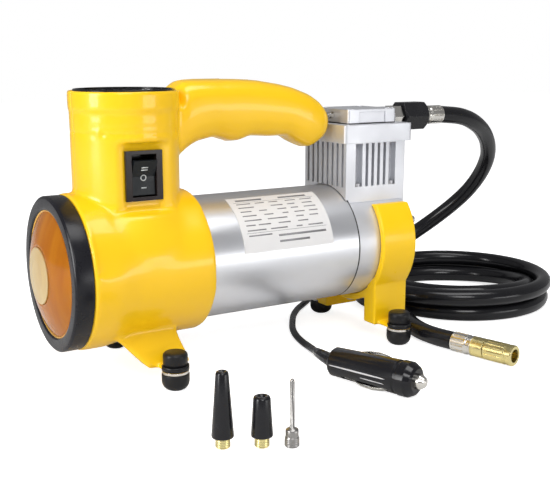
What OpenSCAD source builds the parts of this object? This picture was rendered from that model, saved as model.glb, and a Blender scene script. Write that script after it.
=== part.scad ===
// Portable tyre inflator: a 12 V motor drives a crank and a piston pump with a finned
// cylinder. The moulded front housing holds a lamp, a rocker switch, a pressure gauge
// and the carrying handle. +X runs along the motor from the lamp to the pump, +Z is up.
// The origin is on the ground, midway between the four feet.

/* [Stance] */
// Distance between the front and rear feet
foot_pitch_x = 150; // [140:1:170]
// Distance between the left and right feet
foot_pitch_y = 84; // [80:1:100]
// Height of the motor axis above the ground
axis_z = 60; // [57:0.5:75]
// Radius of a rubber foot
foot_r = 7.4; // [6:0.1:8]
// Height of a rubber foot below its ear
foot_h = 10.5; // [8:0.5:14]
// Thickness of the ears that the feet hang on
ear_t = 2; // [2:0.1:4]
// Height of the rubber cap above each ear
cap_h = 8; // [6:0.5:9]

/* [Motor] */
// Outer radius of the motor can
can_r = 35; // [33:0.1:36]
// Wall of the motor can
can_wall = 2; // [1.5:0.1:2.5]
// Radius of the motor shaft
shaft_r = 4; // [3:0.1:4]
// Radius of the armature core
core_r = 26.4; // [22:0.1:26.5]
// Length of the armature core
core_len = 60; // [40:1:64]
// Number of armature slots
core_slots = 12; // [8:1:16]
// Radius of the commutator
commutator_r = 9.5; // [8:0.1:11]
// Number of commutator bars
commutator_bars = 12; // [8:1:16]

/* [Pump] */
// Radius of the cylinder bore
bore_r = 15; // [13:0.1:15]
// Stroke of the piston
stroke = 15; // [10:0.5:15]
// Length of the connecting rod between its eyes
rod_len = 38; // [37:0.5:42]
// Width of the square cylinder block
block_w = 44; // [43:0.5:46]
// Width of the square head plate
plate_w = 50; // [47:0.5:51]
// Thickness of the head plate
plate_h = 10.5; // [8:0.5:12]
// Width of the head cover
cover_w = 35.6; // [34:0.2:38]
// Height of the head cover
cover_h = 8; // [7:0.5:10]
// Width of a cooling fin on the side faces
fin_w = 2.4; // [2:0.1:2.6]
// Gap between two cooling fins
fin_gap = 2; // [1.6:0.1:2.2]
// Depth of the gaps between fins
fin_depth = 4.6; // [3:0.1:5]
// Thickness of the cylinder's base flange
flange_h = 9.5; // [6:0.5:10]

/* [Housing] */
// Length of the front housing, without its collar
housing_len = 69.5; // [66:0.5:76]
// Radius of the housing round the motor can
barrel_r = 40; // [39.5:0.1:41]
// Radius of the housing's front bell
bell_r = 42; // [41:0.1:44]
// Wall of the moulded housing
wall = 2.8; // [2.4:0.1:3]
// Radius of the tower that holds the gauge and the switch
tower_r = 28.7; // [28:0.1:30]
// Height of the tower's top above the ground
tower_top = 155; // [150:0.5:165]
// Half width of the handle
handle_w = 15; // [13:0.5:16]
// Height of the handle's crown above the tower
handle_rise = 5; // [3:0.5:8]
// Depth of the handle from crown to finger grip
handle_h = 31; // [28:0.5:33]

/* [Lamp] */
// Outer radius of the rubber bezel
bezel_r = 41.3; // [40.5:0.1:43]
// Radius of the lamp opening
lamp_r = 34; // [30:0.5:35]
// Length of the rubber bezel
bezel_len = 10; // [8:0.5:14]
// Bulge of the lens beyond its rim
lens_bulge = 8.5; // [3:0.5:10]
// Radius of the clear window in the middle of the lens
window_r = 15; // [10:0.5:18]

/* [Switch] */
// Width of the switch's frame
switch_w = 20.4; // [18:0.2:21]
// Height of the switch's frame
switch_h = 26; // [24:0.2:28]
// Width of the rocker
rocker_w = 12.8; // [10:0.2:14]
// Height of the rocker
rocker_h = 18.6; // [14:0.2:19]
// Swing of the rocker to each side of its middle
rocker_swing = 12; // [6:1:15]

/* [Gauge] */
// Radius of the gauge's case
gauge_r = 26.6; // [24:0.1:27]
// Height of the gauge's case
gauge_h = 12; // [9:0.5:14]
// Length of the gauge's needle from its pivot
needle_len = 18; // [12:0.5:21]

/* [Rear bracket] */
// Width of the bracket along the motor
bracket_w = 24.5; // [22:0.5:28]
// Thickness of the bracket's band
band_t = 3.95; // [3:0.05:5]
// Height at which the band's ends are cut flat
band_top = 85; // [80:0.5:85.5]

/* [Air hose] */
// Outer diameter of the air hose
hose_d = 11; // [9:0.1:11]
// Distance between two turns of the coiled hose
hose_step = 12; // [12:0.1:13]
// Radius of the coiled hose's outer turn
hose_coil_r = 69; // [66:0.5:72]
// Distance across the flats of the swivel nut
nut_af = 17; // [15:0.5:18]

/* [Power cord] */
// Diameter of the power cord
cord_d = 4.2; // [4:0.1:4.2]
// Distance between two turns of the coiled cord
cord_step = 5; // [5:0.05:5.4]
// Radius of the coiled cord's outer turn
cord_coil_r = 34; // [32:0.5:36]
// Length of the plug's body
plug_len = 52; // [46:1:54]
// Radius of the plug's body at its nose
plug_r = 9.4; // [8.5:0.1:10]

/* [Nozzles] */
// Height of the tall cone nozzle
tall_h = 36; // [30:1:45]
// Height of the short cone nozzle
short_h = 24; // [18:1:30]
// Height of the ball needle
needle_h = 32; // [26:1:40]

/* [Hidden] */
$fn = 64;
yellow = [0.98, 0.78, 0.08];
black = [0.10, 0.10, 0.11];
silver = [0.72, 0.73, 0.75];
steel = [0.60, 0.61, 0.63];
brass = [0.80, 0.64, 0.28];
copper = [0.72, 0.42, 0.22];
white = [0.93, 0.93, 0.91];

// Clearances between pieces
face_gap = 0.1;      // between a piece and the seat it drops into
fit_gap = 0.05;      // radial, running fits
move_gap = 0.4;      // between pieces that move past each other

// Stations along the motor axis
foot_x = foot_pitch_x / 2;
foot_y = foot_pitch_y / 2;
foot_setback = 42;
foot_plate = 1.2;
housing_x0 = -foot_x - foot_setback;
housing_x1 = housing_x0 + housing_len;
can_x0 = housing_x1 - 12.5;
crank_x0 = foot_x - 25.5;
crank_x1 = foot_x + 14;
tower_x = housing_x0 + 35;
pump_x = crank_x0 + 20.5;
lens_x = housing_x0 - 8.5;

// Heights of the pump, from the crank's top dead centre up
crank_z = axis_z + stroke / 2;
pin_z = crank_z + rod_len;
crown_h = 16;
block_top = pin_z + crown_h + 0.5;
flange_z0 = axis_z + 26;
fins_z0 = flange_z0 + flange_h;
plate_top = block_top + plate_h;
gasket_h = 0.6;
cover_z0 = plate_top + gasket_h;
cover_top = cover_z0 + cover_h;
bolt_off = cover_w / 2 - 4;
base_bolt_x = 2 * (fin_w + fin_gap) + fin_w / 2 + 2.5;
base_bolt_y = block_w / 2 - 2.2;
base_bolt_len = flange_h + 3;
wide_gap = 5;
outlet_z = cover_z0 + 1.8;
rod_t = 7;
disc_x0 = pump_x - 11;
disc_x1 = pump_x - rod_t / 2 - 1.2;
liner_r = bore_r + 2.5;

// Heights of the tower, the switch and the gauge
collar_z = tower_top - 10.5;
facet_y = 24.5;
facet_z0 = 92.5;
facet_z1 = 129;
switch_x = tower_x - 0.4;
switch_y = -21;
switch_z = 112;
pocket_y = -23.6;
gauge_floor = tower_top - gauge_h - 1.5;
tube_z = cover_z0 + cover_h / 2;
tube_r = 2;

// The handle's sections: distance from the tower's axis, drop of the top line, rise of
// the finger grip's line, and share of the full width
handle_stations = [[20, 8, -17, 0.87], [27, 4, -11.5, 0.95], [32, 0.8, -6.5, 0.99],
    [36, 0.1, -3, 1], [40, 0, -0.5, 1], [46, 0, 1, 1], [50.4, 0, 1.6, 1],
    [53.5, 0, -1.8, 1], [57.3, 0, 0.8, 1], [67, 0.2, 0, 1], [79.4, 1, -1.3, 1],
    [93.5, 3.2, -2.5, 1], [102, 5.1, -4.7, 1], [109, 7.6, -8, 1], [113, 9, -8.7, 0.98],
    [119, 12.7, -7.2, 0.94], [123, 17, -4, 0.84], [125.5, 20.5, 0.5, 0.66],
    [126.3, 23.5, 4.5, 0.3]];
crown_z = tower_top + handle_rise;

// Screws that join the housing halves: x, z and the reach of the boss to the wall
screw_seat = 8;
housing_bosses = [[tower_x + 46, 146, 13], [tower_x + 98, 145.5, 13],
    [tower_x - 19, 134, 19], [tower_x + 2, 31, 25]];

// Front legs: outline and pocket as [x from the feet, z]
leg_y0 = 24;
leg_y1 = 34.5;
ear_r = foot_r - 0.4;
leg_outline = [[-31, 41], [-26, foot_h + 16], [-11, foot_h], [12.4, foot_h],
    [7.7, foot_h + 19.8], [7, 41]];
leg_pocket = [[-27.5, 41], [-22.8, foot_h + 17], [-9.8, foot_h + 3],
    [8.8, foot_h + 3], [4.6, foot_h + 19.5], [4, 41]];

// Cord gland on the right-hand side of the housing
gland_x = housing_x1 - 16;
gland_z = axis_z - 18;
gland_y = 61;

// Ends of the hose: outlet fitting and screw-on chuck
nut_x0 = pump_x + 34;
nut_len = 20.5;
ferrule_len = 14;
ferrule_r = hose_d / 2 + 0.4;
hose_x0 = nut_x0 + nut_len + ferrule_len;
chuck_at = [94.1, -70.4, 6.1];
chuck_turn = atan2(-0.969, 0.247);
chuck_len = 40.5;
valve_r = 3.85;
valve_len = 9;

// Plug on the ground
plug_at = [6, -71.5, plug_r + 0.2];
plug_turn = atan2(-0.938, 0.347);
nose_len = 9;
tip_len = 5;
tip_stroke = 3;
contact_turn = [55, 235];

// Coiled hose: centre, entry angle at the top layer and turn to the bottom layer
hose_coil_at = [177, 23];
hose_coil_in = 130;
hose_coil_turn = 1130;
hose_low = hose_d / 2;

// Coiled cord, wound the other way
cord_coil_at = [-31, 97];
cord_coil_in = 150;
cord_coil_turn = -4421;
cord_low = cord_d / 2 + 0.1;
cord_layer = cord_d + 0.5;

// Route of the hose from the outlet to its coil
hose_route = [[hose_x0, 0, outlet_z], [157, 0.4, 133], [172, 4, 128.7],
    [188.5, 12, 121.8], [203.5, 21.5, 112], [215.5, 33, 99.8], [222, 46, 85.8],
    [222.5, 59, 71.5], [217.5, 71, 58.5], [208.5, 81.5, 46.5], [196.5, 89.5, 35.8],
    [182.5, 94, 27], [168, 95, 20.6], [154.5, 91.6, 17.7]];

// Route of the hose from its coil to the chuck
tail_route = [[107.2, 0, 5.5], [103.8, -12, 5.6], [98.8, -23, 5.6], [94.3, -34, 5.6],
    [91.9, -45.5, 5.7], [91.6, -57, 5.9], chuck_at];

// Route of the cord from its gland to its coil
gland_route = [[gland_x, gland_y, gland_z], [-63.9, 68, 41.3], [-65.2, 74.7, 38.2],
    [-67.2, 80.7, 33.6], [-69.2, 86.8, 28.6], [-70.3, 93.2, 23.8], [-69.4, 99.6, 19.6],
    [-66.6, 105.1, 17]];

// Route of the cord from its coil to the plug
plug_route = [[4, 112.2, 2.2], [15, 105.8, 2.2], [28, 101.6, 2.2], [41, 99.6, 2.2],
    [55, 99.2, 2.2], [67.8, 99.4, 2.2], [77.5, 96.5, 2.2], [84.5, 89.8, 2.2],
    [86.8, 80.4, 2.2], [84.3, 71, 2.2], [78.5, 64.6, 2.2], [71, 58.3, 2.2],
    [61, 50, 2.2], [50, 38, 2.2], [40.5, 24.5, 2.2], [32.2, 11, 2.2], [26.5, -2, 2.2],
    [22.8, -15, 2.2], [20, -27, 2.8], [16, -37.5, 4.5], [11, -47, 7.2]];

// Bend of the plug's tapered strain relief, from the cord into the plug
relief_route = [[11, -47, 7.2], [8.6, -52.3, 8.4], [6.9, -57.5, 9.2], [5.9, -62.8, 9.6],
    [5.5, -68, 9.6], plug_at, [6.7, -73.4, 9.6]];

// Paths and tubes

// Points along a smooth curve through the route, with n steps to each leg
function smooth(p, n) = [for (i = [0:len(p) - 2], k = [0:n - 1]) let (t = k / n,
    a = p[max(i - 1, 0)], b = p[i], c = p[i + 1], d = p[min(i + 2, len(p) - 1)])
    0.5 * (2 * b + (c - a) * t + (2 * a - 5 * b + 4 * c - d) * t * t
    + (3 * b - a - 3 * c + d) * t * t * t), p[len(p) - 1]];

function unit(v) = v / norm(v);
function last(p) = p[len(p) - 1];

// Direction of a path at point i
function heading(p, i) = unit(p[min(i + 1, len(p) - 1)] - p[max(i - 1, 0)]);

// Ring of points round c, square to direction w
function ring(c, w, r, sides) = let (u = unit(cross(w, [0, 0, 1])), v = cross(u, w))
    [for (k = [0:sides - 1]) let (a = (k + 0.5) * 360 / sides)
    c + r * (cos(a) * u + sin(a) * v)];

// Tube swept along a path, its radius running from r0 to r1. The ends are square to
// the directions w0 and w1.
module tube_along(p, r0, r1, sides, w0, w1) {
    n = len(p);
    points = [for (i = [0:n - 1]) let (w = i == 0 ? w0 : i == n - 1 ? w1 : heading(p, i))
        each ring(p[i], w, r0 + (r1 - r0) * i / (n - 1), sides)];
    walls = [for (i = [0:n - 2], k = [0:sides - 1]) let (a = i * sides + k,
        b = i * sides + (k + 1) % sides) each [[a, b, a + sides], [b, b + sides, a + sides]]];
    ends = [[for (k = [sides - 1:-1:0]) k], [for (k = [0:sides - 1]) (n - 1) * sides + k]];
    polyhedron(points, concat(walls, ends));
}

// Direction of a coil that turns with the sign s, at angle a
function turning(a, s) = s * [-sin(a), cos(a), 0];

// Eased step from 0 to 1
function climb(u) = (1 - cos(180 * max(0, min(1, u)))) / 2;

// Layers climbed down by s, each in the half turn where the spiral reverses
function layers_down(layers, s, half, k = 1) = k >= layers ? 0
    : climb((s - k + half) / (2 * half)) + layers_down(layers, s, half, k + 1);

// Centre line of a coil that spirals in and out again, layer after layer, with a
// straight end of length d at each end
function coil_path(at, r, step, drop, low, layers, a0, turn, d) = let (
    n = round(abs(turn) / 15), loops = abs(turn) / 360 / layers, half = 0.25 / loops,
    loop = [for (i = [0:n]) let (a = a0 + turn * i / n, s = layers * i / n,
        q = abs(s - 2 * floor(s / 2) - 1), rad = r - step * loops * (1 - sqrt(q * q + 0.002)))
        [at[0] + rad * cos(a), at[1] + rad * sin(a),
        low + drop * (layers - 1 - layers_down(layers, s, half))]])
    concat([loop[0] - d * turning(a0, sign(turn))], loop,
    [last(loop) + d * turning(a0 + turn, sign(turn))]);

// Distance from point p to the nearest of a path's legs from i on
function leg_gap(p, a, b) = let (t = max(0, min(1, (p - a) * (b - a) / ((b - a) * (b - a)))))
    norm(p - a - t * (b - a));
function coil_gap(p, d) = min([for (i = [0:3:len(p) - 15], j = [i + 12:len(p) - 2])
    leg_gap(p[i], p[j], p[j + 1])]) - d;

hose_turns = coil_path(hose_coil_at, hose_coil_r, hose_step, hose_d + 0.6, hose_low, 2,
    hose_coil_in, hose_coil_turn, hose_d);
cord_turns = coil_path(cord_coil_at, cord_coil_r, cord_step, cord_layer, cord_low, 4,
    cord_coil_in, cord_coil_turn, cord_d);
hose_in = turning(hose_coil_in, 1);
hose_out = turning(hose_coil_in + hose_coil_turn, 1);
cord_in = turning(cord_coil_in, -1);
cord_out = turning(cord_coil_in + cord_coil_turn, -1);
chuck_way = [cos(chuck_turn), sin(chuck_turn), 0];
relief_way = unit([-5, -9.5, 2.5]);
hose_path = smooth(concat(hose_route, [hose_turns[0]]), 2);
tail_path = smooth(concat([last(hose_turns)], tail_route), 2);
gland_path = concat(gland_route, [cord_turns[0]]);
plug_path = concat([last(cord_turns)], plug_route);
echo(hose_coil_gap = coil_gap(hose_turns, hose_d), cord_coil_gap = coil_gap(cord_turns, cord_d));

// Building blocks

// Revolves a profile of [x, radius] points about the motor axis
module spin_x(profile) translate([0, 0, axis_z]) turn_x(profile);

// Revolves a profile of [x, radius] points about the X axis
module turn_x(profile) rotate([0, 90, 0]) rotate_extrude()
    polygon([for (p = profile) [p[1], p[0]]]);

// Round bar or tube along X, on the motor axis
module tube_x(x0, x1, r, bore = 0) spin_x([[x0, bore], [x1, bore], [x1, r], [x0, r]]);

// Upright bar at a point
module peg(x, y, z0, z1, r) translate([x, y, z0]) cylinder(r = r, h = z1 - z0);

// Bar along Y at a point
module peg_y(x, z, y0, y1, r) translate([x, y0, z]) rotate([-90, 0, 0])
    cylinder(r = r, h = y1 - y0);

// Box given by its limits
module block(x0, x1, y0, y1, z0, z1) translate([x0, y0, z0]) cube([x1 - x0, y1 - y0, z1 - z0]);

// Square bar on the pump's axis
module pump_box(w, z0, z1) block(pump_x - w / 2, pump_x + w / 2, -w / 2, w / 2, z0, z1);

// Places children at the pump's four corners
module pump_corners(dx, dy) for (x = [-dx, dx], y = [-dy, dy]) translate([pump_x + x, y, 0])
    children();

// Hexagonal bar along X on the outlet's axis, with flats above and below
module hex_x(x0, x1, af) translate([x0, 0, outlet_z]) rotate([0, 90, 0]) rotate([0, 0, 90])
    linear_extrude(x1 - x0) circle(r = af / sqrt(3), $fn = 6);

// Round bar or tube along X on the outlet's axis
module outlet_x(profile) translate([0, 0, outlet_z]) turn_x(profile);

// Places children at the feet
module at_feet(xs = [-foot_x, foot_x]) for (x = xs, y = [-foot_y, foot_y])
    translate([x, y, 0]) children();

// Housing

// Section of the handle at station s, drawn in by inset
function handle_ring(s, inset) = let (top = crown_z - s[1] - inset,
    low = crown_z - handle_h + s[2] + inset, w = handle_w * s[3] - inset,
    m = (top + low) / 2, h = (top - low) / 2)
    [for (t = [0:18:342]) [tower_x + s[0], w * sign(cos(t)) * pow(abs(cos(t)), 0.67),
    m + h * sign(sin(t)) * pow(abs(sin(t)), 0.67)]];

module handle_loft(inset, skip) {
    rings = [for (i = [0:len(handle_stations) - 1 - skip]) handle_ring(handle_stations[i], inset)];
    n = len(rings);
    walls = [for (i = [0:n - 2], k = [0:19]) let (a = i * 20 + k, b = i * 20 + (k + 1) % 20)
        each [[a, a + 20, b], [b, a + 20, b + 20]]];
    ends = [[for (k = [0:19]) k], [for (k = [19:-1:0]) (n - 1) * 20 + k]];
    polyhedron([for (r = rings) each r], concat(walls, ends));
}

// Tower with its flared skirt, two fine grooves and the collar at its rim
module tower() {
    r = tower_r;
    translate([tower_x, 0, 0]) intersection() {
        rotate_extrude() polygon([[0, axis_z], [0, tower_top], [r + 0.5, tower_top],
            [r + 1.2, tower_top - 0.8], [r + 1.2, collar_z + 1], [r, collar_z],
            [r, 137.2], [r - 0.5, 136.6], [r, 136], [r, 134.2], [r - 0.5, 133.6],
            [r, 133], [r, 97], [r + 1.4, 93], [33, 89], [36, 84], [38, 80], [39.3, 76],
            [39.3, axis_z]]);
        block(-34, 34, -50, 50, axis_z, tower_top + 1);
    }
}

// Space beyond a leg's sloping outer face, moved in by inset
module beyond_leg(side, inset) translate([-50, 0, 0]) rotate([90, 0, 90]) linear_extrude(100)
    polygon([for (p = [[24, 36.6], [leg_y1, 13], [60, 13], [60, 60], [24, 60]])
    [side * (p[0] - inset), p[1]]]);

module leg(side) translate([-foot_x, 0, 0]) {
    difference() {
        translate([0, side > 0 ? leg_y1 : -leg_y0, 0]) rotate([90, 0, 0])
            linear_extrude(leg_y1 - leg_y0) polygon(leg_outline);
        beyond_leg(side, 0);
        difference() {
            translate([0, side > 0 ? leg_y1 - 3 : -leg_y0 + 1, 0]) rotate([90, 0, 0])
                linear_extrude(leg_y1 - leg_y0 - 2) polygon(leg_pocket);
            beyond_leg(side, 3);
        }
    }
    peg(0, side * foot_y, foot_h, foot_h + ear_t, ear_r);
    block(-ear_r, ear_r, side > 0 ? leg_y0 : -foot_y, side > 0 ? foot_y : -leg_y0, foot_h,
        foot_h + ear_t);
}

// Outside of both halves
module housing_skin() {
    spin_x([[housing_x0 - 7, 0], [housing_x0 - 7, 38], [housing_x0, 38],
        [housing_x0, bell_r - 1], [housing_x0 + 1, bell_r], [housing_x0 + 13, bell_r],
        [housing_x0 + 25, barrel_r], [housing_x1 - 1.5, barrel_r],
        [housing_x1 - 0.4, barrel_r - 0.5], [housing_x1, barrel_r - 1.6], [housing_x1, 0]]);
    difference() {
        tower();
        block(tower_x - 40, tower_x + 40, -50, -facet_y, facet_z0, facet_z1);
    }
    handle_loft(0, 0);
    leg(-1);
    leg(1);
}

// Room for the lamp, the motor can, the gauge, the tube and the switch
module housing_rooms() {
    spin_x([[housing_x0 - 8, 0], [housing_x0 - 8, 35], [housing_x0 - 4.4, 35],
        [housing_x0 - 4.4, 33], [housing_x0 + wall, 33], [housing_x0 + wall, bell_r - wall],
        [housing_x0 + 13, bell_r - wall], [housing_x0 + 25, barrel_r - wall],
        [can_x0 - 4, barrel_r - wall], [can_x0 - 4, can_r - 4], [can_x0 - face_gap, can_r - 4],
        [can_x0 - face_gap, can_r + face_gap], [housing_x1 + 1, can_r + face_gap],
        [housing_x1 + 1, 0]]);
    difference() {
        peg(tower_x, 0, 80, 131, 26);
        block(tower_x - 30, tower_x + 30, -40, -facet_y + 3, 90, 132);
    }
    peg(tower_x, 0, 130.5, gauge_floor + 1, 24.2);
    peg(tower_x, 0, gauge_floor, tower_top + 1, gauge_r + 0.5);
    handle_loft(wall, 2);
    block(switch_x - 10.6, switch_x + 10.4, -40, pocket_y, switch_z - 17.5, switch_z + 15.3);
    block(switch_x - 8.3, switch_x + 8.3, -40, -15, switch_z - 11.6, switch_z + 11.6);
    translate([30, 0, tube_z]) rotate([0, 90, 0]) cylinder(r = tube_r + 0.4, h = 20);
    peg_y(gland_x, gland_z, 28, 45, 5 + fit_gap);
    at_feet([-foot_x]) peg(0, 0, 0, 30, 2.7);
}

module housing_half(side) {
    y0 = side > 0 ? 0 : -60;
    difference() {
        union() {
            intersection() {
                block(-140, 60, y0, y0 + 60, 0, 180);
                difference() {
                    housing_skin();
                    housing_rooms();
                }
            }
            for (b = housing_bosses) peg_y(b[0], b[1], side > 0 ? 0 : -b[2],
                side > 0 ? b[2] : 0, side > 0 ? 5.2 : 3.6);
        }
        for (b = housing_bosses) {
            if (side > 0) {
                peg_y(b[0], b[1], -1, screw_seat + 1, 1.7);
                peg_y(b[0], b[1], screw_seat, 50, 3.3);
            } else {
                peg_y(b[0], b[1], -screw_seat - 1, 1, 1.5 + fit_gap);
            }
        }
    }
}

module housing_left() color(yellow) housing_half(-1);
module housing_right() color(yellow) housing_half(1);

module housing_screws() color(steel) for (b = housing_bosses) difference() {
    union() {
        peg_y(b[0], b[1], screw_seat, screw_seat + 2.4, 2.8);
        peg_y(b[0], b[1], -screw_seat, screw_seat + 1, 1.5);
    }
    block(b[0] - 2, b[0] + 2, screw_seat + 1.4, screw_seat + 4, b[1] - 0.35, b[1] + 0.35);
    block(b[0] - 0.35, b[0] + 0.35, screw_seat + 1.4, screw_seat + 4, b[1] - 2, b[1] + 2);
}

// Lamp

module lamp_bezel() color(black) spin_x([[lens_x - 1.5, lamp_r + 0.9],
    [lens_x - 0.9, lamp_r], [lens_x - 0.1, lamp_r], [lens_x - 0.1, 38.1],
    [housing_x0 - face_gap, 38.1], [housing_x0 - face_gap, bezel_r],
    [lens_x - 0.5, bezel_r], [lens_x - 1.5, bezel_r - 1.2]]);

// Face of the lens: a shallow dome over the lamp's opening
dome_r = lamp_r - 0.1;
dome_curve = (dome_r * dome_r + lens_bulge * lens_bulge) / (2 * lens_bulge);
function dome_x(r) = lens_x - lens_bulge + dome_curve - sqrt(dome_curve * dome_curve - r * r);

module lamp_lens() color([0.95, 0.55, 0.08, 0.7]) {
    face = [for (r = [window_r + face_gap, 19, 23, 27, 31, dome_r]) [dome_x(r), r]];
    back = [for (r = [31, 27, 23, 19, window_r + face_gap]) [dome_x(r) + 2, r]];
    spin_x(concat(face, [[lens_x, dome_r], [lens_x, 37.8], [lens_x + 1.4, 37.8],
        [lens_x + 1.4, 33]], back));
    for (k = [-5:5]) intersection() {
        block(lens_x - lens_bulge, lens_x + 1, k * 5 - 0.4, k * 5 + 0.4, axis_z - 40, axis_z + 40);
        spin_x(concat([for (r = [17.2, 23, 28, 32]) [dome_x(r) + 1.5, r]],
            [for (r = [32, 28, 23, 17.2]) [dome_x(r) + 2.6, r]]));
    }
}

module lamp_window() color([0.93, 0.90, 0.84, 0.8]) {
    edge = dome_x(window_r);
    rim = dome_x(window_r + 1.9) + 2.1;
    spin_x([[edge - 1.2, 0], [edge - 1, 8], [edge - 0.3, window_r], [rim, window_r],
        [rim, window_r + 1.9], [rim + 1, window_r + 1.9], [rim + 1, 0]]);
}

module lamp_reflector() color(silver) {
    x = housing_x0;
    spin_x([[x - 6.8, 34.9], [x - 4.5, 34.9], [x - 4.5, 32.6], [x + 14, 11.5], [x + 24, 11.5],
        [x + 24, 10], [x + 15, 10], [x - 6, 32.2], [x - 6.8, 32.6]]);
}

module lamp_bulb() color([0.95, 0.93, 0.85]) {
    x = housing_x0;
    spin_x([[x + 1, 0], [x + 1.4, 2.6], [x + 3.6, 5], [x + 7, 6], [x + 10, 5.4],
        [x + 13, 4.6], [x + 15.1, 4.6], [x + 15.1, 9.9], [x + 24, 9.9], [x + 24, 8],
        [x + 31, 8], [x + 31, 3], [x + 35, 3], [x + 35, 0]]);
}

// Gauge

module gauge_case() color(black) {
    z = gauge_floor;
    translate([tower_x, 0, 0]) difference() {
        union() {
            peg(0, 0, z, z + gauge_h, gauge_r);
            rotate_extrude() polygon([[gauge_r - 2, z + gauge_h - 0.5],
                [gauge_r, z + gauge_h - 0.5], [gauge_r, tower_top + 0.1],
                [gauge_r - 0.5, tower_top + 0.6], [gauge_r - 1.1, tower_top + 0.6],
                [gauge_r - 2, tower_top - 0.1]]);
            peg(0, 0, z - 9, z + 0.5, 4);
        }
        peg(0, 0, z + 1.5, z + 7, gauge_r - 2.2);
        peg(0, 0, z + 6.9, tower_top + 2, gauge_r - 1.2);
        peg(0, 0, tube_z, z + 2, 1.2);
        translate([0, 0, tube_z]) rotate([0, 90, 0]) cylinder(r = tube_r + fit_gap, h = 9);
    }
}

module gauge_dial() color(white) translate([tower_x, 0, gauge_floor + 7.1]) difference() {
    cylinder(r = gauge_r - 1.3, h = 0.7);
    translate([0, 0, -1]) cylinder(r = 1.6, h = 3);
}

module gauge_movement() color(brass) translate([tower_x, 0, gauge_floor + 1.6]) {
    rotate([0, 0, 20]) translate([0, 0, 2.6]) rotate_extrude(angle = 280)
        translate([17, 0]) circle(r = 1.5);
    difference() {
        union() {
            cylinder(r = 7, h = 4.8);
            rotate([0, 0, 20]) block(0, 18, -2, 2, 0, 3.2);
            rotate([0, 0, 300]) block(8.5, 17, -0.6, 0.6, 1.6, 3.4);
            rotate([0, 0, 300]) block(5, 9.5, -1.2, 1.2, 0.6, 3.4);
        }
        translate([0, 0, 1]) cylinder(r = 1 + fit_gap, h = 5);
    }
}

module gauge_needle() color([0.75, 0.1, 0.08]) translate([tower_x, 0, gauge_floor + 8.3]) {
    cylinder(r = 2.2, h = 1.6);
    translate([0, 0, -5.2]) cylinder(r = 1, h = 6);
    rotate([0, 0, 225]) translate([0, 0, 0.4]) linear_extrude(0.7)
        polygon([[-5, -0.9], [0, -0.8], [needle_len, -0.25], [needle_len, 0.25], [0, 0.8], [-5, 0.9]]);
}

module gauge_glass() color([0.8, 0.85, 0.88, 0.4])
    peg(tower_x, 0, gauge_floor + gauge_h - 1, tower_top - 0.8, gauge_r - 1.3);

module gauge_tube() color(silver) {
    translate([tower_x + 2, 0, tube_z]) rotate([0, 90, 0]) difference() {
        cylinder(r = tube_r, h = pump_x - cover_w / 2 - tower_x + 1);
        translate([0, 0, -1]) cylinder(r = 1.1, h = 200);
    }
}

// Switch

module switch_frame() color(black) {
    y = pocket_y;
    difference() {
        union() {
            block(switch_x - switch_w / 2, switch_x + switch_w / 2, -facet_y - 1.5, y,
                switch_z - switch_h / 2, switch_z + switch_h / 2);
            block(switch_x - 8.2, switch_x + 8.2, y - 0.5, -12, switch_z - 11.5, switch_z + 11.5);
            for (z = [-7, 0, 7]) block(switch_x - 3.1, switch_x + 3.1, -12.5, -4,
                switch_z + z - 0.4, switch_z + z + 0.4);
        }
        block(switch_x - rocker_w / 2 - 0.4, switch_x + rocker_w / 2 + 0.4, -40, -15,
            switch_z - 11, switch_z + 11);
    }
    translate([switch_x - 7.5, switch_y, switch_z]) rotate([0, 90, 0]) cylinder(r = 1.5, h = 15);
}

// Rocker, pressed at its lower end
module switch_rocker() color(black) translate([switch_x, switch_y, switch_z])
    rotate([rocker_swing, 0, 0]) difference() {
        h = rocker_h / 2;
        translate([-rocker_w / 2, 0, 0]) rotate([90, 0, 90]) linear_extrude(rocker_w)
            polygon([[-5.5, h], [-3.2, 0], [-5.5, -h], [-2, 0.6 - h], [1, -4], [3.5, -1.8],
                [3.5, 1.8], [1, 4], [-2, h - 0.6]]);
        translate([-rocker_w, 0, 0]) rotate([0, 90, 0])
            cylinder(r = 1.5 + fit_gap, h = 2 * rocker_w);
    }

// Motor

module motor_can() color(silver) difference() {
    union() {
        tube_x(can_x0, crank_x0, can_r, can_r - can_wall);
        tube_x(can_x0, can_x0 + 1, can_r, can_r - can_wall - 1.9);
    }
    for (a = [45:90:315]) translate([0, 0, axis_z]) rotate([a, 0, 0])
        peg(can_x0 + 6, 0, can_r - 4, can_r + 2, 1.2);
}

module motor_magnets() color([0.25, 0.25, 0.27]) difference() {
    tube_x(-31, 33, can_r - can_wall - fit_gap, core_r + 0.8);
    block(-40, 40, -7, 7, 0, 120);
}

module motor_end_bell() color([0.85, 0.82, 0.75]) {
    x = can_x0;
    difference() {
        union() {
            spin_x([[x - 6, 0], [x - 6, 8], [x - 5, 9], [x - 2, 9], [x - 2, can_r - 4.2],
                [x + 1.1, can_r - 4.2], [x + 1.1, can_r - can_wall - fit_gap],
                [x + 3, can_r - can_wall - fit_gap], [x + 3, 0]]);
            for (y = [-21, 10.5]) block(x + 2.9, x + 20, y, y + 10.5, axis_z - 4.5, axis_z + 4.5);
        }
        tube_x(x - 7, x + 4, shaft_r + fit_gap);
        block(x + 12.4, x + 18.6, -30, 30, axis_z - 2.6, axis_z + 2.6);
        for (a = [0:60:300]) translate([0, 0, axis_z]) rotate([a + 30, 0, 0]) translate([x - 3, 0, 20])
            rotate([0, 90, 0]) cylinder(r = 4, h = 10);
    }
}

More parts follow.
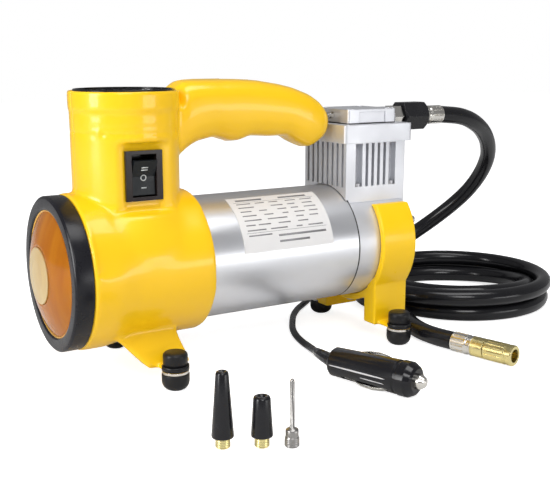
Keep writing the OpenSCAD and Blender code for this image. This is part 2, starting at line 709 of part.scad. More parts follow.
module carbon_brushes() color([0.2, 0.2, 0.2]) for (s = [-1, 1]) difference() {
    block(can_x0 + 12.5, can_x0 + 18.5, s > 0 ? 7 : -18, s > 0 ? 18 : -7, axis_z - 2.5,
        axis_z + 2.5);
    tube_x(can_x0 + 10, can_x0 + 20, commutator_r + face_gap);
}

module motor_shaft() color(steel) spin_x([[can_x0 - 5.5, 0], [can_x0 - 5.5, shaft_r - 0.5],
    [can_x0 - 5, shaft_r], [disc_x1 - 0.8, shaft_r], [disc_x1 - 0.3, shaft_r - 0.5],
    [disc_x1 - 0.3, 0]]);

// Places children round the motor axis
module round_axis(count) for (k = [0:count - 1]) translate([0, 0, axis_z])
    rotate([360 * k / count, 0, 0]) children();

module armature_core() color(steel) difference() {
    tube_x(1 - core_len / 2, 1 + core_len / 2, core_r, shaft_r + fit_gap);
    round_axis(core_slots) {
        block(-40, 40, -0.9, 0.9, core_r - 2, core_r + 1);
        block(-40, 40, -3, 3, core_r - 9.4, core_r - 1.6);
    }
}

module armature_windings() color(copper) {
    x0 = 1 - core_len / 2;
    x1 = 1 + core_len / 2;
    spin_x([[x0 - 7, 9], [x0 - 0.2, 9], [x0 - 0.2, core_r - 2], [x0 - 3, core_r - 1.4],
        [x0 - 6, core_r - 4], [x0 - 7, 15]]);
    spin_x([[x1 + 0.2, 9], [x1 + 7, 9], [x1 + 7, 15], [x1 + 6, core_r - 4],
        [x1 + 3, core_r - 1.4], [x1 + 0.2, core_r - 2]]);
    round_axis(core_slots) block(x0 - 1, x1 + 1, -2.8, 2.8, core_r - 9.2, core_r - 1.8);
}

module commutator() color(copper) difference() {
    union() {
        tube_x(can_x0 + 10, can_x0 + 21, commutator_r, shaft_r + fit_gap);
        tube_x(can_x0 + 20, can_x0 + 22, commutator_r + 1.6, shaft_r + fit_gap);
    }
    round_axis(commutator_bars) block(can_x0 + 9, can_x0 + 19.5, -0.3, 0.3,
        commutator_r - 0.8, commutator_r + 1);
}

module shaft_bearing() color(silver) spin_x([[crank_x0 + 1.6, shaft_r + fit_gap],
    [crank_x0 + 8.6, shaft_r + fit_gap], [crank_x0 + 8.6, 6], [crank_x0 + 8, 6.3],
    [crank_x0 + 8, 9.2], [crank_x0 + 8.6, 9.5], [crank_x0 + 8.6, 11], [crank_x0 + 1.6, 11]]);

// Crankcase

// Small screw: its head sits at z = 0, its shank points down
screw_len = 7;
module screw(len = screw_len) difference() {
    union() {
        cylinder(r = 2.3, h = 2);
        translate([0, 0, -len]) cylinder(r = 1.25, h = len + 0.5);
    }
    translate([0, 0, 0.8]) cylinder(r = 1.2, h = 2, $fn = 6);
}

// Seats of the cover's screws: they point along +X from the cover's face
cover_t = 3;
cover_flat = axis_z + 19.5;
module cover_seats() for (a = [25, 155, 230, 310]) translate([crank_x1 + cover_t,
    (can_r - 2.8) * cos(a), axis_z + (can_r - 2.8) * sin(a)]) rotate([0, 90, 0]) children();

module base_seats() pump_corners(base_bolt_x, base_bolt_y) translate([0, 0, fins_z0]) children();

module bracket_seats() for (x = [-6, 9]) translate([foot_x + x, 0, axis_z - can_r - 3.4])
    rotate([180, 0, 0]) children();

module pump_screws() color(steel) {
    cover_seats() screw();
    base_seats() screw(base_bolt_len);
    bracket_seats() screw();
}

module crankcase() color(silver) {
    x0 = crank_x0;
    difference() {
        union() {
            tube_x(x0 - 4, x0 + 1, can_r - can_wall - fit_gap);
            spin_x([[x0, 0], [x0, can_r - 0.6], [x0 + 0.6, can_r], [crank_x1, can_r], [crank_x1, 0]]);
            block(x0 + 0.5, crank_x1, -block_w / 2, block_w / 2, axis_z, flange_z0);
            block(crank_x1 - 1, crank_x1 + cover_t, -block_w / 2, block_w / 2, cover_flat + 0.5,
                flange_z0);
        }
        difference() {
            tube_x(x0 + 4.5, crank_x1 + 1, can_r - 5);
            tube_x(x0, x0 + 8.5, 15);
        }
        tube_x(x0 + 1.6 - face_gap, x0 + 9, 11 + fit_gap);
        tube_x(x0 - 5, x0 + 3, shaft_r + 2);
        peg(pump_x, 0, axis_z + 17, flange_z0 + 1, liner_r + 0.3);
        block(x0 - 1, crank_x1 + cover_t + 1, -can_r, can_r, flange_z0, axis_z + can_r + 1);
        cover_seats() translate([0, 0, -9]) cylinder(r = 1.25 + fit_gap, h = 9);
        base_seats() translate([0, 0, -base_bolt_len - 2]) cylinder(r = 1.25 + fit_gap, h = base_bolt_len);
        bracket_seats() translate([0, 0, -8]) cylinder(r = 1.25 + fit_gap, h = 9);
    }
}

module crankcase_cover() color(silver) {
    x = crank_x1;
    difference() {
        union() {
            spin_x([[x, 0], [x, can_r - 0.5], [x + cover_t - 0.6, can_r - 0.5],
                [x + cover_t, can_r - 1.1], [x + cover_t, 24], [x + cover_t - 0.8, 23],
                [x + cover_t - 0.8, 0]]);
            tube_x(x - 2, x + 0.5, can_r - 5.2, can_r - 7.2);
            for (y = [-12, 0, 12]) block(x + 1, x + cover_t, y - 0.8, y + 0.8,
                axis_z - 20, axis_z + 14);
        }
        block(x - 3, x + 5, -50, 50, cover_flat, axis_z + 50);
        cover_seats() translate([0, 0, -9]) cylinder(r = 1.25 + fit_gap, h = 10);
    }
}

// Crank, rod and piston, at top dead centre

module crank_disc() color(steel) difference() {
    union() {
        tube_x(disc_x0, disc_x1, 15);
        tube_x(disc_x0 - 0.8, disc_x0 + 1, 6.5);
    }
    tube_x(disc_x0 - 2, disc_x1 + 1, shaft_r + fit_gap);
    for (y = [-13, 13]) translate([disc_x0 + 2, y, crank_z]) rotate([0, 90, 0])
        cylinder(r = 7, h = 10);
    translate([disc_x1 - 5, 0, crank_z]) rotate([0, 90, 0]) cylinder(r = 2.6, h = 10);
}

module crank_pin() color(steel) translate([disc_x1 + 0.3, 0, crank_z]) turn_x([[0, 0], [0, 3],
    [8.4, 3], [8.4, 4.6], [9.8, 4.6], [10, 4.2], [10, 0]]);

module connecting_rod() color(silver) {
    x = pump_x - rod_t / 2;
    difference() {
        union() {
            translate([x, 0, crank_z]) rotate([0, 90, 0]) cylinder(r = 8, h = rod_t);
            translate([x, 0, pin_z]) rotate([0, 90, 0]) cylinder(r = 5.5, h = rod_t);
            translate([x + rod_t, 0, 0]) rotate([0, -90, 0]) linear_extrude(rod_t)
                polygon([[crank_z, -5], [pin_z, -3.6], [pin_z, 3.6], [crank_z, 5]]);
        }
        translate([x - 1, 0, crank_z]) rotate([0, 90, 0]) cylinder(r = 3 + fit_gap, h = 20);
        translate([x - 1, 0, pin_z]) rotate([0, 90, 0]) cylinder(r = 2.5 + fit_gap, h = 20);
        for (dx = [-1, rod_t - 1.6]) translate([x + dx + 2.6, 0, 0]) rotate([0, -90, 0])
            linear_extrude(2.6) polygon([[crank_z + 10, -2.6], [pin_z - 8, -1.8],
            [pin_z - 8, 1.8], [crank_z + 10, 2.6]]);
    }
}

module wrist_pin() color(steel) translate([pump_x, 0, pin_z]) turn_x([[-12, 0], [-12, 2.1],
    [-11.6, 2.5], [11.6, 2.5], [12, 2.1], [12, 0]]);

module piston() color(silver) {
    r = bore_r - fit_gap;
    difference() {
        translate([pump_x, 0, pin_z]) rotate_extrude() polygon([[r - 3, -8], [r, -8],
            [r, crown_h - 5.6], [r - 1.9, crown_h - 5.6], [r - 1.9, crown_h - 3.2],
            [r, crown_h - 3.2], [r, crown_h - 0.5], [r - 0.5, crown_h], [0, crown_h],
            [0, 9], [r - 3, 9]]);
        translate([pump_x - 20, 0, pin_z]) rotate([0, 90, 0]) cylinder(r = 2.5 + fit_gap, h = 40);
    }
    for (s = [-1, 1]) difference() {
        translate([pump_x + (s > 0 ? 4.4 : -12.4), 0, pin_z]) rotate([0, 90, 0])
            cylinder(r = 5, h = 8);
        translate([pump_x - 20, 0, pin_z]) rotate([0, 90, 0]) cylinder(r = 2.5 + fit_gap, h = 40);
    }
}

module piston_ring() color([0.15, 0.15, 0.15]) difference() {
    peg(pump_x, 0, pin_z + crown_h - 5.5, pin_z + crown_h - 3.3, bore_r - fit_gap);
    peg(pump_x, 0, pin_z, pin_z + crown_h, bore_r - 1.9);
    block(pump_x, pump_x + 20, -0.3, 0.3, pin_z, pin_z + crown_h);
}

// Cylinder and head

module cylinder_block() color(silver) difference() {
    w = block_w / 2;
    pitch = fin_w + fin_gap;
    union() {
        pump_box(block_w, flange_z0, block_top);
        peg(pump_x, 0, axis_z + 20, block_top, liner_r);
    }
    peg(pump_x, 0, axis_z, block_top + 1, bore_r);
    tube_x(0, crank_x0 + 0.5, can_r + 0.5);
    for (s = [-1, 1]) {
        y0 = s > 0 ? w - fin_depth : -w - 1;
        for (k = [0:3]) block(pump_x + (k - 1.5) * pitch - fin_gap / 2,
            pump_x + (k - 1.5) * pitch + fin_gap / 2, y0, y0 + fin_depth + 1, fins_z0,
            block_top - 0.8);
        for (k = [-1, 1]) block(pump_x + k * base_bolt_x - wide_gap / 2,
            pump_x + k * base_bolt_x + wide_gap / 2, y0, y0 + fin_depth + 1, fins_z0,
            block_top - 0.8);
        x0 = pump_x + (s > 0 ? w - fin_depth : -w - 1);
        for (y = [-18.2:5.2:18.3]) block(x0, x0 + fin_depth + 1, y - 1.05,
            y + 1.05, fins_z0, block_top - 0.8);
    }
    pump_corners(bolt_off, bolt_off) peg(0, 0, block_top - 12, block_top + 1, 2 + fit_gap);
    base_seats() translate([0, 0, -flange_h - 1]) cylinder(r = 1.25 + fit_gap, h = flange_h + 2);
}

module rounded_square(w, r) {
    square([w, w - 2 * r], center = true);
    square([w - 2 * r, w], center = true);
    for (x = [r - w / 2, w / 2 - r], y = [r - w / 2, w / 2 - r]) translate([x, y]) circle(r = r);
}

module head_plate() color(silver) difference() {
    translate([pump_x, 0, block_top]) linear_extrude(plate_h) rounded_square(plate_w, 2);
    pump_corners(bolt_off, bolt_off) peg(0, 0, block_top - 1, plate_top + 1, 2 + fit_gap);
    peg(pump_x - 6, -6, block_top - 1, plate_top + 1, 2.5);
    peg(pump_x + 6, 8, block_top - 1, plate_top - 4, 2);
    peg_y(pump_x + 6, block_top + 4.5, 8, plate_w / 2 + 1, 2);
    block(pump_x, pump_x + 10, 4, 12, block_top - 1, block_top + 1.2);
}

module reed_valves() color(steel) {
    difference() {
        block(pump_x - 9.5, pump_x + 4, -9, -3, plate_top + 0.05, plate_top + 0.45);
        peg(pump_x + 2, -6, plate_top, plate_top + 1, 1);
    }
    peg(pump_x + 2, -6, plate_top + 0.05, plate_top + 1.4, 1.6);
    block(pump_x + 0.5, pump_x + 9.5, 4.5, 11.5, block_top + 0.1, block_top + 0.5);
}

module head_gasket() color(black) translate([0, 0, plate_top]) difference() {
    translate([pump_x, 0, 0]) linear_extrude(gasket_h) rounded_square(cover_w, 1.5);
    block(pump_x - 11.5, pump_x + 11.5, -11.5, 11.5, -1, 2);
    pump_corners(bolt_off, bolt_off) peg(0, 0, -1, 2, 2 + fit_gap);
}

module head_cover() color(silver) {
    w = cover_w / 2;
    difference() {
        union() {
            translate([pump_x, 0, cover_z0]) linear_extrude(cover_h) rounded_square(cover_w, 1.5);
            block(pump_x + w - 1, pump_x + 26, -5, 5, cover_z0, cover_top - 0.2);
        }
        for (s = [-1, 1]) {
            block(pump_x - w + 8, pump_x + w - 8, s * w - 0.8, s * w + 0.8, cover_z0 - 1,
                cover_top - 1.6);
            block(pump_x + s * w - 0.8, pump_x + s * w + 0.8, -w + 8,
                s > 0 ? -5.5 : w - 8, cover_z0 - 1, cover_top - 1.6);
        }
        block(pump_x - 11.5, pump_x + 11.5, -11.5, 11.5, cover_z0 - 1, cover_top - 2.2);
        pump_corners(bolt_off, bolt_off) {
            peg(0, 0, cover_z0 - 1, cover_top + 1, 2 + fit_gap);
            peg(0, 0, cover_top - 2.6, cover_top + 1, 3.2);
        }
        outlet_x([[pump_x + 8, 0], [pump_x + 27, 0], [pump_x + 27, 1.7 + fit_gap],
            [pump_x + 8, 1.7 + fit_gap]]);
        translate([pump_x - w - 1, 0, tube_z]) rotate([0, 90, 0])
            cylinder(r = tube_r + fit_gap, h = 8);
    }
}

module head_bolts() color(steel) pump_corners(bolt_off, bolt_off) difference() {
    union() {
        peg(0, 0, cover_top - 2.6, cover_top - 0.3, 3);
        peg(0, 0, block_top - 11, cover_top - 2, 2);
    }
    translate([0, 0, cover_top - 1.8]) cylinder(r = 1.6, h = 3, $fn = 6);
}

// Outlet, hose and chuck

module outlet_fitting() color(silver) difference() {
    union() {
        outlet_x([[pump_x + 14, 0], [nut_x0 - 7, 0], [nut_x0 - 7, 1.7], [pump_x + 14, 1.7]]);
        hex_x(nut_x0 - 7.5, nut_x0 - 1, 13);
        outlet_x([[nut_x0 - 2, 0], [nut_x0 + 10, 0], [nut_x0 + 10, 3.9], [nut_x0 + 9.4, 4.5],
            [nut_x0 - 2, 4.5]]);
    }
    outlet_x([[pump_x + 13, 0], [nut_x0 + 11, 0], [nut_x0 + 11, 0.9], [pump_x + 13, 0.9]]);
}

module swivel_nut() color(black) difference() {
    intersection() {
        hex_x(nut_x0, nut_x0 + nut_len, nut_af);
        outlet_x([[nut_x0, 0], [nut_x0, nut_af / 2], [nut_x0 + 1, nut_af / sqrt(3)],
            [nut_x0 + nut_len - 3.4, nut_af / sqrt(3)], [nut_x0 + nut_len, nut_af / 2 - 1.6],
            [nut_x0 + nut_len, 0]]);
    }
    outlet_x([[nut_x0 - 1, 0], [nut_x0 - 1, 4.5 + fit_gap], [nut_x0 + 11, 4.5 + fit_gap],
        [nut_x0 + 11, 2.5], [nut_x0 + 13.5, 2.5], [nut_x0 + 13.5, 4.5 + fit_gap],
        [nut_x0 + nut_len + 1, 4.5 + fit_gap], [nut_x0 + nut_len + 1, 0]]);
}

// Ferrule with its barb at x < 0 and the hose's end at its length
module ferrule() difference() {
    turn_x([[-6, 0], [-6, 4.1], [-5.6, 4.5], [0, 4.5], [0, ferrule_r], [1, ferrule_r],
        [1.6, ferrule_r - 0.5], [3, ferrule_r - 0.5], [3.6, ferrule_r],
        [ferrule_len - 0.6, ferrule_r], [ferrule_len, ferrule_r - 0.6], [ferrule_len, 0]]);
    turn_x([[-10, 0], [ferrule_len + 1, 0], [ferrule_len + 1, 1.8], [-10, 1.8]]);
    for (k = [0:11]) rotate([k * 30, 0, 0]) translate([4.6, 0, ferrule_r])
        rotate([0, 90, 0]) cylinder(r = 0.55, h = ferrule_len - 6);
}

// Places children along the chuck, from the end of the hose
module at_chuck() translate(chuck_at) rotate([0, 0, chuck_turn]) children();

module hose_ferrules() color(silver) {
    translate([nut_x0 + nut_len, 0, outlet_z]) ferrule();
    at_chuck() translate([ferrule_len, 0, 0]) rotate([0, 0, 180]) ferrule();
}

module hose() color(black) {
    tube_along(hose_path, hose_d / 2, hose_d / 2, 8, [1, 0, 0], hose_in);
    tube_along(tail_path, hose_d / 2, hose_d / 2, 8, hose_out, chuck_way);
}

module hose_coil() color(black)
    tube_along(hose_turns, hose_d / 2, hose_d / 2, 6, hose_in, hose_out);

sleeve_x0 = ferrule_len + 8;
module chuck_core() color(brass) at_chuck() {
    difference() {
        turn_x([[ferrule_len, 0], [ferrule_len, ferrule_r - 0.3], [ferrule_len + 0.4, ferrule_r],
            [sleeve_x0 - 0.4, ferrule_r], [sleeve_x0, ferrule_r - 0.4], [sleeve_x0, 3.2],
            [sleeve_x0 + 7, 3.2], [sleeve_x0 + 7, 0]]);
        turn_x([[ferrule_len - 1, 0], [ferrule_len + 6.3, 0], [ferrule_len + 6.3, 4.5 + fit_gap],
            [ferrule_len - 1, 4.5 + fit_gap]]);
        turn_x([[ferrule_len, 0], [sleeve_x0 + 6, 0], [sleeve_x0 + 6, 1.3], [ferrule_len, 1.3]]);
        rotate([90, 0, 0]) translate([sleeve_x0 + 5, 0, -10]) cylinder(r = 0.8, h = 20);
    }
    turn_x([[sleeve_x0 + 6.5, 0], [sleeve_x0 + 6.5, 0.9], [sleeve_x0 + 9.2, 0.9],
        [sleeve_x0 + 9.2, 0]]);
}

module chuck_sleeve() color(brass) at_chuck() difference() {
    turn_x([[sleeve_x0 + 0.3, 0], [sleeve_x0 + 0.3, 5.5], [sleeve_x0 + 0.8, 6],
        [chuck_len - 5, 6], [chuck_len - 4.6, 5.6], [chuck_len - 3.6, 5.6], [chuck_len - 3.2, 6],
        [chuck_len - 0.5, 6], [chuck_len, 5.5], [chuck_len, 0]]);
    turn_x([[sleeve_x0, 0], [sleeve_x0, 3.2 + fit_gap], [sleeve_x0 + 7.4, 3.2 + fit_gap],
        [sleeve_x0 + 7.4, 0]]);
    turn_x([[sleeve_x0 + 7, 0], [sleeve_x0 + 7, 1.6], [chuck_len - valve_len, 1.6],
        [chuck_len - valve_len, valve_r], [chuck_len + 1, valve_r], [chuck_len + 1, 0]]);
    for (k = [0:17]) rotate([k * 20, 0, 0]) translate([sleeve_x0 + 2, 0, 6.1])
        rotate([0, 90, 0]) cylinder(r = 0.4, h = 11, $fn = 6);
}

// Rear bracket and feet

module rear_bracket() color(yellow) {
    x0 = crank_x1 - bracket_w;
    x1 = crank_x1;
    r = can_r + 0.3;
    difference() {
        union() {
            tube_x(x0, x1, r + band_t, r);
            for (s = [-1, 1]) {
                difference() {
                    block(x0, x1, s > 0 ? 20 : -31, s > 0 ? 31 : -20, foot_h, 40);
                    block(x0 - 1, x1 - 3, s > 0 ? 23 : -28, s > 0 ? 28 : -23, foot_h + 3, 39);
                }
                block(foot_x - ear_r, foot_x + ear_r, s > 0 ? 30 : -foot_y,
                    s > 0 ? foot_y : -30, foot_h, foot_h + ear_t);
            }
            at_feet([foot_x]) peg(0, 0, foot_h, foot_h + ear_t, ear_r);
        }
        tube_x(x0 - 1, x1 + 1, r);
        block(x0 - 1, x1 + 1, -50, 50, band_top, band_top + 30);
        at_feet([foot_x]) peg(0, 0, 0, 30, 2.7);
        bracket_seats() cylinder(r = 2.6, h = 20);
        bracket_seats() translate([0, 0, -8]) cylinder(r = 1.25 + fit_gap, h = 10);
    }
}

// Studs with the plates that the rubber is bonded to, and the nuts' washers
module foot_bolts() color(steel) at_feet() {
    z = foot_h + ear_t;
    peg(0, 0, foot_h - foot_plate, foot_h, foot_r - 0.3);
    peg(0, 0, foot_h - 0.5, z + 5.5, 2.5);
    peg(0, 0, z, z + 0.8, ear_r);
}

module rubber_feet() color(black) at_feet() {
    z = foot_h + ear_t + 0.9;
    cylinder(r = foot_r, h = foot_h - foot_plate);
    difference() {
        rotate_extrude() polygon([[0, z], [foot_r - 0.8, z], [foot_r - 0.8, z + cap_h - 2],
            [foot_r - 1.6, z + cap_h - 0.9], [0, z + cap_h - 0.9]]);
        peg(0, 0, z - 1, z + 5.2, 2.5 + face_gap);
    }
}

module rating_label() color(white) translate([-28, 0, axis_z]) rotate([199, 0, 0])
    rotate([0, 90, 0]) rotate_extrude(angle = 61) translate([can_r + 0.05, 0]) square([0.2, 59]);

// Power cord and plug

module power_cord() color(black) {
    tube_along(gland_path, cord_d / 2, cord_d / 2, 8, [0, 1, 0], cord_in);
    tube_along(plug_path, cord_d / 2, cord_d / 2, 8, cord_out, relief_way);
}

module cord_coil() color(black)
    tube_along(cord_turns, cord_d / 2, cord_d / 2, 6, cord_in, cord_out);

module cord_gland() color(black) translate([gland_x, 0, gland_z]) rotate([0, 0, 90])
    turn_x([[33, 0], [33, 5], [38.7, 5], [38.7, 7], [40.5, 7], [40.5, 5.4], [43, 5],
        [43, 4.2], [44.2, 4.2], [44.2, 4.8], [47, 4.4], [47, 3.7], [48.2, 3.7], [48.2, 4.2],
        [51, 3.8], [51, 3.2], [52.2, 3.2], [52.2, 3.6], [gland_y, cord_d / 2 + 0.3],
        [gland_y, 0]]);

// Places children along the plug, from the cord's end
module at_plug() translate(plug_at) rotate([0, 0, plug_turn]) children();

module plug_body() color(black) {
    tube_along(relief_route, cord_d / 2 + 0.2, 4.4, 12, relief_way, [0.347, -0.938, 0]);
    at_plug() difference() {
        r = plug_r;
        n = plug_len;
        turn_x([[0, 0], [0, r - 2.4], [1.2, r - 1.5], [n - 11, r - 0.3], [n - 10.4, r - 0.9],
            [n - nose_len, r - 0.9], [n - nose_len + 0.4, r], [n - 4, r], [n - 1, r - 1.6],
            [n, r - 3], [n, 0]]);
        turn_x([[n - 14, 0], [n + 1, 0], [n + 1, 4 + fit_gap], [n - 14, 4 + fit_gap]]);
        for (a = contact_turn) rotate([a, 0, 0]) block(9, 38, r - 2.6, r + 2, -2.4, 2.4);
    }
}

module plug_contacts() color(silver) at_plug() for (a = contact_turn) rotate([a, 0, 0])
    linear_extrude(4, center = true) polygon([[10, plug_r - 2.5], [14, plug_r - 2.5],
    [20, plug_r - 0.6], [27, plug_r], [33, plug_r - 0.8], [37.2, plug_r - 2.4],
    [37.4, plug_r - 1.8], [33, plug_r - 0.2], [27, plug_r + 0.6], [20, plug_r],
    [14, plug_r - 1.9], [10, plug_r - 1.9]]);

module plug_tip() color(silver) at_plug() {
    n = plug_len;
    turn_x([[n - 10, 0], [n - 10, 4], [n + 2, 4], [n + 4.4, 2.6], [n + tip_len, 1], [n + tip_len, 0]]);
}

// Nozzles, standing on their stems, which go into the chuck's bore
stem_r = valve_r - 0.45;
stem_h = 5;

module tall_nozzle() color([0.16, 0.16, 0.17]) translate([-89.2, -120.5, 0]) difference() {
    h = tall_h;
    rotate_extrude() polygon([[0, 0], [stem_r - 0.5, 0], [stem_r, 0.5], [stem_r, stem_h],
        [5.1, stem_h], [5.1, 12], [4.3, 13], [2.7, h - 1], [2.2, h], [0, h]]);
    peg(0, 0, -1, h + 1, 1.2);
}

module short_nozzle() color([0.16, 0.16, 0.17]) translate([-73.6, -128.8, 0]) difference() {
    h = short_h;
    rotate_extrude() polygon([[0, 0], [stem_r - 0.5, 0], [stem_r, 0.5], [stem_r, stem_h],
        [5, stem_h], [5, 10], [4.6, 11], [3.7, h - 1], [3.2, h], [0, h]]);
    peg(0, 0, -1, h + 1, 1.6);
}

module ball_needle() color(silver) translate([-62, -135.8, 0]) difference() {
    h = needle_h;
    rotate_extrude() polygon([[0, 0], [stem_r - 0.5, 0], [stem_r, 0.5], [stem_r, stem_h],
        [3, stem_h + 0.5], [3, 7.6], [2.4, 8.8], [1.1, 9.6], [1.1, h - 1], [0.7, h], [0, h]]);
    peg(0, 0, -1, h - 4, 0.6);
    peg_y(0, h - 5, -3, 3, 0.4);
}

housing_left();
housing_right();
housing_screws();
lamp_bezel();
lamp_lens();
lamp_window();
lamp_reflector();
lamp_bulb();
gauge_case();
gauge_dial();
gauge_movement();
gauge_needle();
gauge_glass();
gauge_tube();
switch_frame();
switch_rocker();
motor_can();
motor_magnets();
motor_end_bell();
motor_shaft();
armature_core();
armature_windings();
commutator();
carbon_brushes();
shaft_bearing();
crankcase();
crankcase_cover();
crank_disc();
crank_pin();
connecting_rod();
wrist_pin();
piston();
piston_ring();
cylinder_block();
head_plate();
head_gasket();
head_cover();
head_bolts();
pump_screws();
reed_valves();
outlet_fitting();
swivel_nut();
hose_ferrules();
hose();
hose_coil();
chuck_core();
chuck_sleeve();
rear_bracket();
foot_bolts();
rubber_feet();
rating_label();
power_cord();
cord_coil();
cord_gland();
plug_body();
plug_contacts();
plug_tip();
tall_nozzle();
short_nozzle();
ball_needle();
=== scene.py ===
import math

import bmesh
import bpy
from mathutils import Matrix, Vector


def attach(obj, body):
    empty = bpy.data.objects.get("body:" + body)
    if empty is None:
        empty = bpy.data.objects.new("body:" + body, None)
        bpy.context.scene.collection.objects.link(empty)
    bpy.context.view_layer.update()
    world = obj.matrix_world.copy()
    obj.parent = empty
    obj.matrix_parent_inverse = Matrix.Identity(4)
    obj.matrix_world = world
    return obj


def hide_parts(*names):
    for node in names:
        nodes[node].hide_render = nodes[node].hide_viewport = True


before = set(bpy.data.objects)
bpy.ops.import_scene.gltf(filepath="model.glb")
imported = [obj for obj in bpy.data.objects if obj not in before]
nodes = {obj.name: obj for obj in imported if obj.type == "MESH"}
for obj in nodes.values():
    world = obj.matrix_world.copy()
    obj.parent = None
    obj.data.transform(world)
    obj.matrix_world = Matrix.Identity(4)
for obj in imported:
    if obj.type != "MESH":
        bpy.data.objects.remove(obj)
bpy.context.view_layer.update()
scene = bpy.context.scene

# The pieces' sizes are in millimetres, which mm turns into metres; the camera's and the
# room's are in metres.
mm = 0.001

# The view: a long lens in front of the lamp end, a little above the pump, so that
# the housing's left side, the switch and the hose's loop all show.
camera_place = Vector((-0.27226, -0.46426, 0.17286))
camera_turn = math.radians(31.493)
camera_dip = math.radians(11.927)
look = Vector((math.sin(camera_turn) * math.cos(camera_dip),
               math.cos(camera_turn) * math.cos(camera_dip), -math.sin(camera_dip)))
camera_lens = bpy.data.cameras.new("view_lens")
camera_lens.lens = 60.44
camera_lens.sensor_width = 36
camera_lens.clip_start = 0.01
camera = bpy.data.objects.new("view", camera_lens)
camera.location = camera_place
camera.rotation_euler = look.to_track_quat("-Z", "Y").to_euler()
scene.collection.objects.link(camera)
scene.camera = camera
scene.view_settings.view_transform = "Standard"


# Air hose: black extruded rubber, 11 mm across. It leaves the swivel nut behind the
# head, drops behind the pump into a flat two-layer coil and runs out to the chuck.
def inflator_finish(name, colour, rough, metal=0.0, second=None, patch=40, grain=0.0,
                    fine=900, spread=0.08, edge=0.0, coat=0.0, stretch=(1, 1, 1),
                    gloss=0.5):
    """One finish: two near tones in patches, uneven roughness and a fine surface grain."""
    made = bpy.data.materials.new(name)
    made.use_nodes = True
    tree = made.node_tree
    shader = tree.nodes["Principled BSDF"]
    shader.inputs["Metallic"].default_value = metal
    shader.inputs["Coat Weight"].default_value = coat
    shader.inputs["Coat Roughness"].default_value = 0.08
    shader.inputs["Specular IOR Level"].default_value = gloss
    place = tree.nodes.new("ShaderNodeTexCoord")
    turn = tree.nodes.new("ShaderNodeMapping")
    turn.inputs["Scale"].default_value = stretch
    tree.links.new(place.outputs["Object"], turn.inputs["Vector"])
    wide = tree.nodes.new("ShaderNodeTexNoise")
    wide.inputs["Scale"].default_value = patch
    wide.inputs["Detail"].default_value = 4
    tree.links.new(turn.outputs["Vector"], wide.inputs["Vector"])
    tones = tree.nodes.new("ShaderNodeMix")
    tones.data_type = "RGBA"
    tones.inputs["A"].default_value = (*colour, 1)
    tones.inputs["B"].default_value = (*(second or [c * 0.9 for c in colour]), 1)
    tree.links.new(wide.outputs["Fac"], tones.inputs["Factor"])
    tree.links.new(tones.outputs["Result"], shader.inputs["Base Color"])
    dull = tree.nodes.new("ShaderNodeMapRange")
    dull.inputs["From Min"].default_value = 0.3
    dull.inputs["From Max"].default_value = 0.7
    dull.inputs["To Min"].default_value = max(0.02, rough - spread)
    dull.inputs["To Max"].default_value = min(1, rough + spread)
    tree.links.new(wide.outputs["Fac"], dull.inputs["Value"])
    tree.links.new(dull.outputs["Result"], shader.inputs["Roughness"])
    if grain or edge:
        small = tree.nodes.new("ShaderNodeTexNoise")
        small.inputs["Scale"].default_value = fine
        small.inputs["Detail"].default_value = 3
        tree.links.new(turn.outputs["Vector"], small.inputs["Vector"])
        bump = tree.nodes.new("ShaderNodeBump")
        bump.inputs["Strength"].default_value = grain
        bump.inputs["Distance"].default_value = 0.1 * mm
        tree.links.new(small.outputs["Fac"], bump.inputs["Height"])
        tree.links.new(bump.outputs["Normal"], shader.inputs["Normal"])
        if edge:
            rounded = tree.nodes.new("ShaderNodeBevel")
            rounded.samples = 4
            rounded.inputs["Radius"].default_value = edge * mm
            tree.links.new(rounded.outputs["Normal"], bump.inputs["Normal"])
    return made


def smooth_route(points, steps=6):
    """Smooth (Catmull-Rom) curve in metres through points in millimetres."""
    pts = [Vector(p) * mm for p in points]
    pts = [2 * pts[0] - pts[1]] + pts + [2 * pts[-1] - pts[-2]]
    line = []
    for i in range(1, len(pts) - 2):
        a, b, c, d = pts[i - 1:i + 3]
        for k in range(steps):
            t = k / steps
            line.append(0.5 * (2 * b + (c - a) * t + (2 * a - 5 * b + 4 * c - d) * t * t
                               + (3 * b - a - 3 * c + d) * t ** 3))
    return line + [pts[-2]]


def coil_route(at, radius, step, rise, low, layers, start, turn, straight):
    """Flat coil that spirals in and out again, layer after layer, in millimetres."""
    degrees_a_point = 15
    climb_turns = 0.25
    inner_ease = 0.002
    count = round(abs(turn) / degrees_a_point)
    loops = abs(turn) / 360 / layers
    half = climb_turns / loops
    sign = 1 if turn > 0 else -1

    def ease(u):
        """Soft step from 0 to 1."""
        return (1 - math.cos(math.pi * max(0, min(1, u)))) / 2

    line = []
    for i in range(count + 1):
        angle = math.radians(start + turn * i / count)
        layer = layers * i / count
        outward = abs(layer - 2 * math.floor(layer / 2) - 1)
        r = radius - step * loops * (1 - math.sqrt(outward * outward + inner_ease))
        down = sum(ease((layer - k + half) / (2 * half)) for k in range(1, layers))
        line.append((at[0] + r * math.cos(angle), at[1] + r * math.sin(angle),
                     low + rise * (layers - 1 - down)))

    def way(degrees):
        """Direction in which the coil runs on at an angle."""
        a = math.radians(degrees)
        return (-sign * math.sin(a), sign * math.cos(a))

    first = way(start)
    last = way(start + turn)
    head = (line[0][0] - straight * first[0], line[0][1] - straight * first[1], line[0][2])
    tail = (line[-1][0] + straight * last[0], line[-1][1] + straight * last[1], line[-1][2])
    return [head] + line + [tail]


